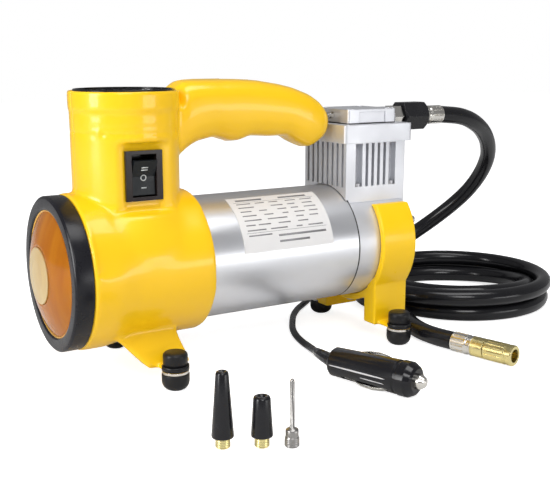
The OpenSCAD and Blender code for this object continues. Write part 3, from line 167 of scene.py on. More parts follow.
def tube(name, line, width, finish):
    """Round hose or cord along a line of points, as one open spline."""
    curve = bpy.data.curves.new(name, "CURVE")
    curve.dimensions = "3D"
    spline = curve.splines.new("POLY")
    spline.points.add(len(line) - 1)
    for point, place in zip(spline.points, line):
        point.co = (*place, 1)
    curve.bevel_depth = width / 2 * mm
    curve.bevel_resolution = 6
    curve.use_fill_caps = True
    curve.materials.append(finish)
    made = bpy.data.objects.new(name, curve)
    scene.collection.objects.link(made)
    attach(made, "machine")
    return made


hose_rubber = inflator_finish("hose_rubber", (0.006, 0.006, 0.007), 0.19, spread=0.05,
                              second=(0.010, 0.010, 0.012), patch=90, grain=0.05,
                              gloss=0.35)
hose_width = 11
hose_start = (138.5, 0, 134.9)
hose_drop = [hose_start, (157, 0.4, 133), (172, 4, 128.7), (188.5, 12, 121.8),
             (203.5, 21.5, 112), (215.5, 33, 99.8), (222, 46, 85.8), (222.5, 59, 71.5),
             (217.5, 71, 58.5), (208.5, 81.5, 46.5), (196.5, 89.5, 35.8), (182.5, 94, 27),
             (168, 95, 20.6), (154.5, 91.6, 17.7)]
hose_turns = coil_route(at=(177, 23), radius=69, step=12, rise=hose_width + 0.6,
                        low=hose_width / 2, layers=2, start=130, turn=1130,
                        straight=hose_width)
chuck_end = (94.1, -70.4, 6.1)
hose_tail = [(107.2, 0, 5.5), (103.8, -12, 5.6), (98.8, -23, 5.6), (94.3, -34, 5.6),
             (91.9, -45.5, 5.7), (91.6, -57, 5.9), chuck_end]
hose_line = smooth_route(hose_drop + hose_turns + hose_tail, 5)
hose = tube("air_hose", hose_line, hose_width, hose_rubber)
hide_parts("hose", "hose_coil")

# Power lead: thin flexible black cable that leaves the housing's right side, is put
# away in a coil behind the machine and comes out under it to the plug.
lead_sheath = inflator_finish("lead_sheath", (0.007, 0.007, 0.008), 0.3, gloss=0.3,
                              second=(0.012, 0.012, 0.014), patch=120, grain=0.08)
cord_width = 4.2
cord_exit = (-63.5, 61, 42)
cord_drop = [cord_exit, (-63.9, 68, 41.3), (-65.2, 74.7, 38.2), (-67.2, 80.7, 33.6),
             (-69.2, 86.8, 28.6), (-70.3, 93.2, 23.8), (-69.4, 99.6, 19.6),
             (-66.6, 105.1, 17)]
cord_turns = coil_route(at=(-31, 97), radius=34, step=5, rise=cord_width + 0.5,
                        low=cord_width / 2 + 0.1, layers=4, start=150, turn=-4421,
                        straight=cord_width)
cord_to_plug = [(4, 112.2, 2.2), (15, 105.8, 2.2), (28, 101.6, 2.2), (41, 99.6, 2.2),
                (55, 99.2, 2.2), (67.8, 99.4, 2.2), (77.5, 96.5, 2.2), (84.5, 89.8, 2.2),
                (86.8, 80.4, 2.2), (84.3, 71, 2.2), (78.5, 64.6, 2.2), (71, 58.3, 2.2),
                (61, 50, 2.2), (50, 38, 2.2), (40.5, 24.5, 2.2), (32.2, 11, 2.2),
                (26.5, -2, 2.2), (22.8, -15, 2.2), (20, -27, 2.8), (16, -37.5, 4.5),
                (11, -47, 7.2), (8.6, -52.3, 8.4), (6.9, -57.5, 9.2), (5.9, -62.8, 9.6),
                (5.5, -68, 9.6), (6, -71.5, 9.6)]
cord_line = smooth_route(cord_drop + cord_turns + cord_to_plug, 4)
cord = tube("power_lead", cord_line, cord_width, lead_sheath)
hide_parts("power_cord", "cord_coil")


# Housing: two halves moulded in glossy yellow plastic, screwed together on the middle
# plane. Drum, tower, handle and legs are one wall that runs into soft inner corners.
def applied(made):
    """Turns an object's modifiers into its mesh."""
    bpy.context.view_layer.update()
    ready = made.evaluated_get(bpy.context.evaluated_depsgraph_get())
    mesh = bpy.data.meshes.new_from_object(ready)
    made.modifiers.clear()
    made.data = mesh
    return made


def put(made, finish, body="machine", stands_for=()):
    """Dresses a piece, puts it on its body and hides the CAD nodes it stands for."""
    made.data.materials.clear()
    made.data.materials.append(finish)
    made.data.shade_smooth()
    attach(made, body)
    if stands_for:
        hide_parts(*stands_for)
    return made


def even_out(made, voxel):
    """Rebuilds a piece's skin from even squares of one size."""
    even = made.modifiers.new("even_mesh", "REMESH")
    even.mode = "VOXEL"
    even.voxel_size = voxel * mm


def soften(made, name, rounds, points=""):
    """Eases a piece's corners, by the weights of a group of its points if one is named."""
    eased = made.modifiers.new(name, "SMOOTH")
    eased.factor = 0.5
    eased.iterations = rounds
    eased.vertex_group = points


yellow_moulding = inflator_finish("yellow_moulding", (0.94, 0.55, 0.006), 0.3,
                                  second=(0.96, 0.585, 0.008), patch=25, grain=0.03,
                                  spread=0.03, coat=0.35, gloss=0.3)
shell_voxel = 0.8
shell_rounds = 12
blend_rounds = 120
seam = 0.9
seam_fade = 1.5
# Underside of the handle, as (x, z): the solid's line and the moulded finger bumps
grip_solid = [(-62, 112), (-55, 117.5), (-50, 122.5), (-46, 126), (-42, 128.5), (-36, 130),
              (-31.6, 130.6), (-28.5, 127.2), (-24.7, 129.8), (-15, 129), (-2.6, 127.7),
              (11.5, 126.5), (20, 124.3), (27, 121), (31, 120.3), (37, 121.8)]
grip_bumps = [(-62, 112), (-55, 117.3), (-50, 121.5), (-46, 124), (-42, 125.8), (-36, 127),
              (-32, 127.9), (-27, 126.8), (-21, 124.9), (-15.5, 125), (-10.5, 126.9),
              (-8, 127.5), (5, 126.6), (14, 126.6), (17, 126), (22.5, 122.5),
              (29.7, 119.2), (33, 119.4), (37, 121.8)]
grip_low = 108
handle_middle = 144
motor_axis = 60
drum_radius = 41
tower_at = -82
tower_radius = 28.7
# Collar at the tower's mouth, and the share of its step that is left
collar_low = 143.5
collar_back = tower_at + 22
collar_share = 0.45
# Notch in the handle's flank beside the collar
notch_at = -55.2
notch_width = 1.4
notch_depth = 6
# Each pair below is a span in which an effect sets in or fades, along the axis named last
handle_start_x = (-50, -40)
handle_foot_z = (96, 102)
notch_foot_z = (145, 148)
notch_top_z = (154, 158)
notch_side_y = (5, 9)
drum_front_x = (-114, -108)
drum_back_x = (-54, -45)
tower_foot_y = (18, 24)
tower_foot_low_z = (50, 58)
tower_foot_top_z = (89, 94)
leg_root_y = (14, 18)
leg_root_low_z = (17, 23)
leg_root_top_z = (42, 50)
skirt_side_y = (12, 20)
skirt_fade_z = (77, 93)
# Box of the drum's upper skirt, which lies on the drum's own radius
skirt_box_x = (-114, -47)
skirt_box_z = (66, 95)
grip_blend = 0.2
root_blend = 0.4


def ramp(value, low, high):
    """Share from 0 at low to 1 at high."""
    return min(1, max(0, (value - low) / (high - low)))


def line_height(points, x):
    """Height z at x on a line of (x, z) points."""
    for (x0, z0), (x1, z1) in zip(points, points[1:]):
        if x0 <= x <= x1:
            return z0 + (z1 - z0) * (x - x0) / (x1 - x0)


def blend_share(x, y, z):
    """How far a point belongs to the long soft runs: grip, tower foot, leg roots."""
    grip = grip_blend * ramp(x, *handle_start_x) * ramp(z, *handle_foot_z)
    beside = ramp(x, *drum_front_x) * (1 - ramp(x, *drum_back_x))
    foot = ramp(abs(y), *tower_foot_y) * ramp(z, *tower_foot_low_z)
    foot *= 1 - ramp(z, *tower_foot_top_z)
    root = root_blend * ramp(abs(y), *leg_root_y) * ramp(z, *leg_root_low_z)
    root *= 1 - ramp(z, *leg_root_top_z)
    return max(grip, foot * beside, root * beside)


for half in ("left", "right"):
    shell = bpy.data.objects.new("housing_shell_" + half,
                                 nodes["housing_" + half].data.copy())
    scene.collection.objects.link(shell)
    even_out(shell, shell_voxel)
    applied(shell)
    wall_points = shell.vertex_groups.new(name="wall")
    blend_points = shell.vertex_groups.new(name="long_runs")
    for v in shell.data.vertices:
        x, y, z = v.co / mm
        if grip_solid[0][0] < x < grip_solid[-1][0] and grip_low < z < handle_middle:
            low = line_height(grip_solid, x)
            share = min(1, (handle_middle - z) / (handle_middle - low))
            v.co.z += (line_height(grip_bumps, x) - low) * share * mm
        around = math.hypot(x - tower_at, y)
        if z > collar_low and x < collar_back and around > tower_radius:
            inward = (1 - collar_share) * (tower_radius / around - 1)
            v.co.x += (v.co.x - tower_at * mm) * inward
            v.co.y += v.co.y * inward
        notch = ramp(z, *notch_foot_z) * (1 - ramp(z, *notch_top_z))
        notch *= ramp(abs(y), *notch_side_y)
        notch *= math.exp(-((x - notch_at) / notch_width) ** 2)
        notch *= ramp(around, tower_radius - 1, tower_radius)
        v.co.y -= math.copysign(notch_depth * mm * notch, y)
        out = math.hypot(y, z - motor_axis)
        in_box = skirt_box_x[0] < x < skirt_box_x[1] and skirt_box_z[0] < z < skirt_box_z[1]
        if in_box and out > drum_radius:
            inward = (1 - ramp(z, *skirt_fade_z)) * ramp(abs(y), *skirt_side_y)
            inward *= drum_radius / out - 1
            v.co.y += v.co.y * inward
            v.co.z += (v.co.z - motor_axis * mm) * inward
        off_seam = ramp(abs(y), seam, seam + seam_fade)
        if off_seam > 0:
            wall_points.add([v.index], off_seam, "REPLACE")
        long_run = off_seam * blend_share(x, y, z)
        if long_run > 0:
            blend_points.add([v.index], long_run, "REPLACE")
    soften(shell, "soft_corners", shell_rounds, "wall")
    soften(shell, "long_runs", blend_rounds, "long_runs")
    applied(shell)
    put(shell, yellow_moulding, stands_for=["housing_" + half])

bare_steel = inflator_finish("bare_steel", (0.5, 0.5, 0.52), 0.3, metal=1, grain=0.2,
                             edge=0.15)


def dress(finish, *members):
    """Gives CAD nodes their finish."""
    for member in members:
        slots = nodes[member].data.materials
        slots.clear()
        slots.append(finish)


dress(bare_steel, "housing_screws")


# Lamp: a thick rubber bezel holds an amber lens, moulded with upright ribs on its back
# and a frosted window in the middle, over a mirror cone with a small bulb.
def round_point(shape, x, r, angle):
    """Point at radius r from the X axis, at an angle from +Y."""
    return shape.verts.new((x * mm, r * mm * math.cos(angle), r * mm * math.sin(angle)))


def skin(shape, rings):
    """Faces between neighbouring rings of points; a ring of one point ends a cone."""
    for one, two in zip(rings, rings[1:]):
        count = max(len(one), len(two))
        if count == 1:
            continue
        for k in range(count):
            n = (k + 1) % count
            if len(one) == 1:
                shape.faces.new((one[0], two[k], two[n]))
            elif len(two) == 1:
                shape.faces.new((one[k], two[0], one[n]))
            else:
                shape.faces.new((one[k], two[k], two[n], one[n]))


def lathe(profile, sides=72):
    """Turned shape about the X axis from (x, radius) points in millimetres."""
    on_axis = 1e-4
    shape = bmesh.new()
    rings = []
    for x, r in profile:
        if r < on_axis:
            rings.append([shape.verts.new((x * mm, 0, 0))])
        else:
            rings.append([round_point(shape, x, r, 2 * math.pi * k / sides)
                          for k in range(sides)])
    skin(shape, rings)
    return shape


def rounded(profile, cut=0.4, steps=3):
    """Profile whose corners, all but its two ends, are eased by small arcs."""
    most_of_side = 0.45
    too_short = 1e-3
    eased = [profile[0]]
    for a, b, c in zip(profile, profile[1:], profile[2:]):
        one = Vector(a) - Vector(b)
        two = Vector(c) - Vector(b)
        reach = min(cut, one.length * most_of_side, two.length * most_of_side)
        if reach < too_short:
            eased.append(b)
            continue
        start = Vector(b) + one.normalized() * reach
        stop = Vector(b) + two.normalized() * reach
        for k in range(steps + 1):
            t = k / steps
            spot = start * (1 - t) ** 2 + Vector(b) * 2 * t * (1 - t) + stop * t * t
            eased.append((spot.x, spot.y))
    return eased + [profile[-1]]


def piece(name, shape, finish, body="machine", stands_for=(), place=None):
    """Object from a bmesh, set in place, dressed and put on its body."""
    if place is not None:
        bmesh.ops.transform(shape, matrix=place, verts=shape.verts)
    bmesh.ops.recalc_face_normals(shape, faces=shape.faces)
    mesh = bpy.data.meshes.new(name)
    shape.to_mesh(mesh)
    shape.free()
    made = bpy.data.objects.new(name, mesh)
    scene.collection.objects.link(made)
    return put(made, finish, body, stands_for)


axis_place = Matrix.Translation((0, 0, motor_axis * mm))
lens_x = -125.5
lens_bulge = 8.5
lens_r = 33.9
window_r = 15
dome_r = (lens_r ** 2 + lens_bulge ** 2) / (2 * lens_bulge)


def dome_x(r):
    """Place along X of the lens's domed face at radius r."""
    return lens_x - lens_bulge + dome_r - math.sqrt(dome_r ** 2 - r ** 2)


bezel_rubber = inflator_finish("bezel_rubber", (0.007, 0.007, 0.010), 0.26, gloss=0.28,
                               second=(0.011, 0.011, 0.014), patch=60, grain=0.1)
bezel_bore = 34.0
bezel_seat = 38.1
bezel_r = 41.3
bezel_back = -117.1
bezel_profile = [(lens_x - 0.1, bezel_bore), (lens_x - 0.9, bezel_bore),
                 (lens_x - 1.5, bezel_bore + 0.9), (lens_x - 1.5, bezel_r - 1.2),
                 (lens_x - 0.5, bezel_r), (bezel_back, bezel_r), (bezel_back, bezel_seat),
                 (lens_x - 0.1, bezel_seat), (lens_x - 0.1, bezel_bore)]
large_ring_sides = 128
bezel_shape = lathe(rounded(bezel_profile, 0.45), large_ring_sides)
piece("bezel_ring", bezel_shape, bezel_rubber, stands_for=["lamp_bezel"],
      place=axis_place)

amber = inflator_finish("amber_lens", (0.64, 0.24, 0.006), 0.1, gloss=0.25,
                        second=(0.4, 0.1, 0.003), patch=34, spread=0.02,
                        stretch=(1, 5, 1))
amber.node_tree.nodes["Principled BSDF"].inputs["Transmission Weight"].default_value = 0.3
rib_pitch = 3.4
rib_height = 0.9
lens_thick = 1.5
lens_inner = window_r + 0.1
lens_steps = 12
lens_sides = 160
lens_radii = [lens_inner + (lens_r - lens_inner) * k / lens_steps
              for k in range(lens_steps + 1)]
lens_angles = [2 * math.pi * k / lens_sides for k in range(lens_sides)]
lens_shape = bmesh.new()
lens_rings = []
for r in lens_radii:
    lens_rings.append([round_point(lens_shape, dome_x(r), r, a) for a in lens_angles])
for r in reversed(lens_radii[:-1]):
    ring = []
    for a in lens_angles:
        across = r * math.cos(a)
        rib = rib_height * abs(math.sin(math.pi * across / rib_pitch))
        ring.append(round_point(lens_shape, dome_x(r) + lens_thick + rib, r, a))
    lens_rings.append(ring)
skin(lens_shape, lens_rings + lens_rings[:1])
piece("ribbed_lens", lens_shape, amber, stands_for=["lamp_lens"],
      place=axis_place)

gold_rim = inflator_finish("gold_rim", (0.93, 0.55, 0.12), 0.22, metal=0.6,
                           second=(0.85, 0.45, 0.08), grain=0.05)
rim_bore = 33.1
rim_r = 33.95
rim_profile = [(lens_x + 0.3, rim_bore), (lens_x - 0.3, rim_bore), (lens_x - 0.7, 33.5),
               (lens_x - 0.7, rim_r), (lens_x + 0.3, rim_r), (lens_x + 0.3, rim_bore)]
rim_shape = lathe(rounded(rim_profile, 0.15, 2), large_ring_sides)
piece("lens_rim", rim_shape, gold_rim, place=axis_place)

frosted = inflator_finish("frosted_window", (0.78, 0.62, 0.3), 0.14, gloss=0.6,
                          second=(0.52, 0.3, 0.07), patch=30, spread=0.02,
                          stretch=(1, 2, 1))
frosted.node_tree.nodes["Principled BSDF"].inputs["Transmission Weight"].default_value = 0.2
mirror = inflator_finish("mirror_cone", (0.85, 0.85, 0.86), 0.1, metal=1, spread=0.03)
clear_glass = inflator_finish("clear_glass", (0.96, 0.97, 0.97), 0.03, spread=0.01)
clear_glass.node_tree.nodes["Principled BSDF"].inputs["Transmission Weight"].default_value = 1
dress(frosted, "lamp_window")
dress(mirror, "lamp_reflector")
dress(clear_glass, "lamp_bulb")

# Gauge: black pressed cup in the tower's mouth, white dial with a printed scale, red
# needle and a flat glass over them. The figures, 0 to 10, stand for bar.
case_black = inflator_finish("case_black", (0.008, 0.008, 0.009), 0.24, grain=0.04,
                             second=(0.012, 0.012, 0.013), edge=0.25, gloss=0.3)
dial_white = inflator_finish("dial_white", (0.84, 0.84, 0.82), 0.42,
                             second=(0.8, 0.8, 0.78), patch=70, grain=0.03, fine=1500)
dial_black = inflator_finish("dial_ink", (0.016, 0.016, 0.018), 0.45,
                             second=(0.03, 0.03, 0.03), patch=300, grain=0.03)
needle_red = inflator_finish("needle_red", (0.55, 0.012, 0.008), 0.3, grain=0.03,
                             second=(0.45, 0.01, 0.007), patch=200)
brass_works = inflator_finish("rolled_brass", (0.74, 0.5, 0.18), 0.28, metal=1,
                              grain=0.15, edge=0.15)
dress(case_black, "gauge_case")
dress(dial_white, "gauge_dial")
dress(needle_red, "gauge_needle")
dress(brass_works, "gauge_movement")
dress(clear_glass, "gauge_glass")
dial_z = 149.3
ink_low = dial_z - 0.02
ink_high = dial_z + 0.06
scale_start = 225
scale_sweep = 270
ticks = 40
ticks_a_figure = 8
# Inner radius and half width of a tick
long_tick = (18.2, 0.32)
short_tick = (20.4, 0.14)
arc_steps = 90
arc_inner = 22.6
arc_outer = 22.9
figure_steps = 5
bar_a_figure = 2
figure_r = 15
figure_size = 5.2
figure_thick = 0.04
scale = bmesh.new()


def slab(shape, lower, upper):
    """Closed slab between two outlines of four points each, in metres."""
    lower = [shape.verts.new(spot) for spot in lower]
    upper = [shape.verts.new(spot) for spot in upper]
    shape.faces.new(upper)
    shape.faces.new(lower[::-1])
    for k in range(4):
        n = (k + 1) % 4
        shape.faces.new((lower[k], lower[n], upper[n], upper[k]))


def on_dial(corners):
    """Print on the dial, on four corners (x, y) measured from the dial's middle."""
    low, high = [[((tower_at + x) * mm, y * mm, z * mm) for x, y in corners]
                 for z in (ink_low, ink_high)]
    slab(scale, low, high)


for tick in range(ticks + 1):
    a = math.radians(scale_start - scale_sweep * tick / ticks)
    inner, half_w = short_tick if tick % ticks_a_figure else long_tick
    out = (math.cos(a), math.sin(a))
    side = (-out[1], out[0])
    on_dial([(out[0] * r + side[0] * w, out[1] * r + side[1] * w)
             for r, w in ((inner, -half_w), (arc_inner, -half_w), (arc_inner, half_w),
                          (inner, half_w))])
arc = [math.radians(scale_start - scale_sweep * k / arc_steps) for k in range(arc_steps + 1)]
for a, b in zip(arc, arc[1:]):
    on_dial([(r * math.cos(t), r * math.sin(t))
             for r, t in ((arc_inner, a), (arc_outer, a), (arc_outer, b), (arc_inner, b))])
piece("dial_scale", scale, dial_black)
for figure in range(figure_steps + 1):
    a = math.radians(scale_start - scale_sweep * figure / figure_steps)
    bar = figure * bar_a_figure
    letters = bpy.data.curves.new("figure_%d" % bar, "FONT")
    letters.body = str(bar)
    letters.size = figure_size * mm
    letters.align_x = "CENTER"
    letters.align_y = "CENTER"
    letters.extrude = figure_thick * mm
    flat = bpy.data.objects.new("flat_figure", letters)
    scene.collection.objects.link(flat)
    flat.rotation_euler = (0, 0, math.radians(-90))
    flat.location = ((tower_at + figure_r * math.cos(a)) * mm,
                     figure_r * math.sin(a) * mm, (dial_z + 0.02) * mm)
    bpy.context.view_layer.update()
    ready = flat.evaluated_get(bpy.context.evaluated_depsgraph_get())
    figure_mesh = bpy.data.meshes.new_from_object(ready)
    figure_mesh.transform(flat.matrix_world)
    bpy.data.objects.remove(flat)
    number = bpy.data.objects.new("dial_figure_%d" % bar, figure_mesh)
    scene.collection.objects.link(number)
    put(number, dial_black)
    number.data.shade_flat()

# Switch: glossy black frame pressed into the tower's flat and a rocker with white
# marks. The rocker's face dips in the middle; it is pressed at its lower end.
switch_gloss = inflator_finish("switch_gloss", (0.012, 0.008, 0.008), 0.16, gloss=0.3,
                               second=(0.02, 0.013, 0.012), patch=60, edge=0.45)
rocker_black = inflator_finish("rocker_black", (0.006, 0.008, 0.010), 0.3, gloss=0.25,
                               second=(0.009, 0.012, 0.014), patch=120, grain=0.05,
                               edge=0.3)
mark_white = inflator_finish("mark_white", (0.5, 0.51, 0.5), 0.4, patch=300,
                             second=(0.66, 0.7, 0.7))
dress(switch_gloss, "switch_frame")
dress(rocker_black, "switch_rocker")
rocker_pivot = (-82.4, -21, 112)
rocker_tilt = 12
rocker_middle = 3.2
rocker_rise = 2.3
rocker_half = 9.3
mark_high = 0.09
mark_low = -0.05
rocker_place = (Matrix.Translation([v * mm for v in rocker_pivot])
                @ Matrix.Rotation(math.radians(rocker_tilt), 4, "X"))
marks = bmesh.new()


def on_rocker(x, z, lift):
    """Point over the rocker's hollow face, from x and z measured from its pivot."""
    face = rocker_middle + rocker_rise * abs(z) / rocker_half
    return (x * mm, (-face - lift) * mm, z * mm)


def mark(points, width):
    """Raised line on the rocker through points (x, z)."""
    for (x0, z0), (x1, z1) in zip(points, points[1:]):
        run = math.hypot(x1 - x0, z1 - z0)
        sx = -(z1 - z0) / run * width / 2
        sz = (x1 - x0) / run * width / 2
        spots = [(x0 + sx, z0 + sz), (x1 + sx, z1 + sz), (x1 - sx, z1 - sz),
                 (x0 - sx, z0 - sz)]
        slab(marks, [on_rocker(x, z, mark_low) for x, z in spots],
             [on_rocker(x, z, mark_high) for x, z in spots])


mark([(-1.8, 3.9), (1.8, 3.9)], 0.6)
mark([(-1.8, 5.3), (1.8, 5.3)], 0.6)
ring_r = 1.4
ring_z = -0.5
ring_angles = [math.radians(15 * k) for k in range(25)]
mark([(ring_r * math.cos(a), ring_z + ring_r * math.sin(a)) for a in ring_angles], 0.55)
mark([(-1.5, -5.6), (1.5, -5.6)], 0.55)
piece("rocker_marks", marks, mark_white, body="rocker", place=rocker_place)

# Motor: rolled steel can with a satin nickel coat, a dark seam where the crankcase
# starts, and a paper label with plain printed lines on its left side.
satin_can = inflator_finish("satin_can", (0.74, 0.75, 0.78), 0.33, metal=0.85,
                            second=(0.71, 0.72, 0.75), patch=20, grain=0.05, spread=0.03,
                            stretch=(1, 6, 6), edge=0.3)
ferrite = inflator_finish("ferrite", (0.05, 0.05, 0.055), 0.6, grain=0.5)
cream_moulding = inflator_finish("cream_moulding", (0.62, 0.56, 0.42), 0.45, grain=0.1,
                                 edge=0.3)
copper = inflator_finish("enamelled_copper", (0.55, 0.2, 0.08), 0.35, metal=0.9,
                         stretch=(1, 20, 20), grain=0.5, fine=1500, edge=0.2)
graphite = inflator_finish("graphite", (0.03, 0.03, 0.032), 0.5, grain=0.3)
label_paper = inflator_finish("label_paper", (0.74, 0.73, 0.72), 0.42, grain=0.03,
                              second=(0.7, 0.69, 0.69), patch=90)
label_ink = inflator_finish("label_ink", (0.16, 0.16, 0.17), 0.5, grain=0.03,
                            second=(0.3, 0.3, 0.31), patch=600)
dress(satin_can, "motor_can")
dress(ferrite, "motor_magnets")
dress(cream_moulding, "motor_end_bell")
dress(bare_steel, "motor_shaft", "armature_core", "shaft_bearing", "crank_disc",
      "crank_pin", "wrist_pin")
dress(copper, "armature_windings", "commutator")
dress(graphite, "carbon_brushes")
dress(label_paper, "rating_label")
paper_r = 35.2
ink_r = 35.27
title_height = 1.5
row_height = 0.75
rule_height = 0.22
foot_height = 1.2
lines = bmesh.new()


def printed(x0, x1, angle, height):
    """Printed line on the can, from x0 to x1, at an angle from +Y over the top."""
    low = math.radians(angle) - height / 2 / ink_r
    high = math.radians(angle) + height / 2 / ink_r
    under, over = [[(x * mm, r * mm * math.cos(a), (motor_axis + r * math.sin(a)) * mm)
                    for x, a in ((x0, low), (x0, high), (x1, high), (x1, low))]
                   for r in (paper_r, ink_r)]
    slab(lines, under, over)


printed(-23, -6, 114, title_height)
printed(5, 24, 114, title_height)
label_rows = [(119.5, [(-24, -15), (-12, -6), (-3, 3), (8, 15), (18, 26)]),
              (124.5, [(-24, -14), (-3, 5), (8, 13), (18, 25)]),
              (129.5, [(-24, -17), (-12, -7), (0, 6), (9, 14), (18, 26)]),
              (134.5, [(-24, -15), (-10, -4), (2, 6), (10, 17), (20, 26)]),
              (139.5, [(-24, -13), (-9, 4), (10, 15), (19, 25)]),
              (144.5, [(-24, -18), (-16, -8), (-3, 5), (10, 17)]),
              (149.5, [(-24, -12), (-9, 2), (8, 12), (16, 26)]),
              (154.5, [(-24, -9)])]
for angle, spans in label_rows:
    for x0, x1 in spans:
        printed(x0, x1, angle, row_height)
for angle in (117, 152):
    printed(-25, 28, angle, rule_height)
printed(-5, 27, 156.5, foot_height)
printed(-5, 15, 162, foot_height)
piece("label_lines", lines, label_ink)

seam_black = inflator_finish("seam_gasket", (0.02, 0.02, 0.022), 0.5, grain=0.2)
gasket_front = 49.1
gasket_back = 50.0
gasket_bore = 34.4
gasket_r = 35.12
gasket_profile = [(gasket_front, gasket_bore), (gasket_front, gasket_r),
                  (gasket_back, gasket_r), (gasket_back, gasket_bore),
                  (gasket_front, gasket_bore)]
seam_ring = lathe(rounded(gasket_profile, 0.2, 2), large_ring_sides)
piece("can_gasket", seam_ring, seam_black, place=axis_place)

# Pump: die-cast silver crankcase, finned block, thick head plate and a small cover held
# by four sunk bolts. Crank, rod and piston turn inside.
cast_silver = inflator_finish("cast_silver", (0.7, 0.71, 0.745), 0.42, metal=0.7,
                              second=(0.65, 0.66, 0.695), patch=45, grain=0.2, fine=1300,
                              edge=0.35, gloss=0.3)
ring_black = inflator_finish("ring_graphite", (0.02, 0.02, 0.02), 0.45, grain=0.1)
gasket_black = inflator_finish("gasket_fibre", (0.015, 0.015, 0.016), 0.6, grain=0.4)
dress(cast_silver, "crankcase", "crankcase_cover", "cylinder_block", "head_plate",
      "head_cover", "connecting_rod", "piston")
dress(bare_steel, "head_bolts", "pump_screws", "reed_valves")
dress(ring_black, "piston_ring")
dress(gasket_black, "head_gasket")

# Outlet: plated fitting and gauge tube, black six-sided swivel nut with eased corners,
# and crimped plated ferrules on both ends of the hose.
nickel = inflator_finish("nickel_plate", (0.78, 0.76, 0.72), 0.18, metal=1, grain=0.06,
                         second=(0.7, 0.68, 0.63), patch=150, edge=0.2)
nut_black = inflator_finish("nut_black", (0.009, 0.009, 0.011), 0.26, grain=0.08,
                            second=(0.016, 0.016, 0.018), patch=120, edge=0.6, gloss=0.35)
dress(nickel, "outlet_fitting", "hose_ferrules", "gauge_tube")
dress(nut_black, "swivel_nut")

# Chuck: turned brass core on the hose's far end, with a knurled brass sleeve round it
# that screws on to a tyre's valve.
pale_brass = inflator_finish("pale_brass", (0.86, 0.76, 0.38), 0.24, metal=1, grain=0.1,
                             second=(0.8, 0.68, 0.3), patch=160, edge=0.15)
dress(pale_brass, "chuck_core", "chuck_sleeve")

# Rear bracket and feet: yellow painted steel band on two legs; rubber feet with caps,
# clamped to the ears by steel washers and bolts.
yellow_paint = inflator_finish("yellow_paint", (0.94, 0.57, 0.004), 0.34, patch=60,
                               grain=0.1, fine=1400, edge=0.6, coat=0.15, gloss=0.3,
                               second=(0.96, 0.6, 0.005))
foot_rubber = inflator_finish("foot_rubber", (0.007, 0.007, 0.008), 0.36, grain=0.12,
                              second=(0.012, 0.012, 0.013), patch=150, gloss=0.25)
dress(nickel, "foot_bolts")
band_voxel = 0.55
band_rounds = 5
# Blocks that fill the pocket in each leg
pocket_x = 75.3
pocket_z = 26.5
pocket_size = (21.2, 5.2, 25.5)
band_shape = bmesh.new()
band_shape.from_mesh(nodes["rear_bracket"].data)
for pocket_y in (-25.6, 25.6):
    block = (Matrix.Translation((pocket_x * mm, pocket_y * mm, pocket_z * mm))
             @ Matrix.Diagonal((*pocket_size, 1)))
    bmesh.ops.create_cube(band_shape, size=mm, matrix=block)
band_data = bpy.data.meshes.new("bracket_band")
band_shape.to_mesh(band_data)
band = bpy.data.objects.new("bracket_band", band_data)
scene.collection.objects.link(band)
even_out(band, band_voxel)
soften(band, "soft_corners", band_rounds)
applied(band)
put(band, yellow_paint, stands_for=["rear_bracket"])
foot_lower = [(0, 0.0), (0, 3.2), (0.25, 4.2), (0.9, 5.4), (1.9, 6.4), (3.2, 7.1),
              (4.8, 7.4), (8.5, 7.4), (9.0, 7.25), (9.25, 6.8), (9.25, 0.0)]
foot_upper = [(13.45, 2.8), (13.45, 6.1), (13.8, 6.5), (18.6, 6.6), (19.7, 6.3),
              (20.35, 5.6), (20.5, 4.4), (20.5, 0.0)]
foot_inside = [(18.8, 0.0), (18.8, 2.8), (13.45, 2.8)]
foot_parts = (("foot_", foot_lower), ("foot_cap_", foot_inside + foot_upper[1:]))
foot_sides = 48
# Lip of the cap that hangs over the ear's edge, as (radius, z), and how far it wraps
skirt_profile = [(7.04, 10.9), (7.3, 10.95), (7.3, 13.3), (7.1, 13.45), (6.2, 13.45),
                 (6.2, 13.4), (7.04, 13.35)]
skirt_wrap = 118
skirt_steps = 32
feet = {"front_left": (-75, -42), "front_right": (-75, 42),
        "rear_left": (75, -42), "rear_right": (75, 42)}


def upright_at(x, y):
    """Place on the floor for a turned shape, with the shape's own X axis upwards."""
    return (Matrix.Translation((x * mm, y * mm, 0))
            @ Matrix.Rotation(math.radians(-90), 4, "Y"))


for label, (foot_x, foot_y) in feet.items():
    stands = ["rubber_feet"] if label == "front_left" else []
    for name, profile in foot_parts:
        piece(name + label, lathe(profile, foot_sides), foot_rubber,
              stands_for=stands, place=upright_at(foot_x, foot_y))
    outward = 90 if foot_y > 0 else -90
    skirt = bmesh.new()
    arcs = []
    for k in range(skirt_steps + 1):
        a = math.radians(outward - skirt_wrap + 2 * skirt_wrap * k / skirt_steps)
        arcs.append([skirt.verts.new(((foot_x + r * math.cos(a)) * mm,
                                      (foot_y + r * math.sin(a)) * mm, z * mm))
                     for r, z in skirt_profile])
    skin(skirt, arcs)
    skirt.faces.new(arcs[0][::-1])
    skirt.faces.new(arcs[-1])
    piece("foot_skirt_" + label, skirt, foot_rubber)

# Cord gland: strain relief moulded in soft black rubber, ringed so that it bends with the
# lead, and seated in a hole in the housing's right side.
gland_rubber = inflator_finish("gland_rubber", (0.012, 0.012, 0.013), 0.4, grain=0.15,
                               edge=0.25)
dress(gland_rubber, "cord_gland")
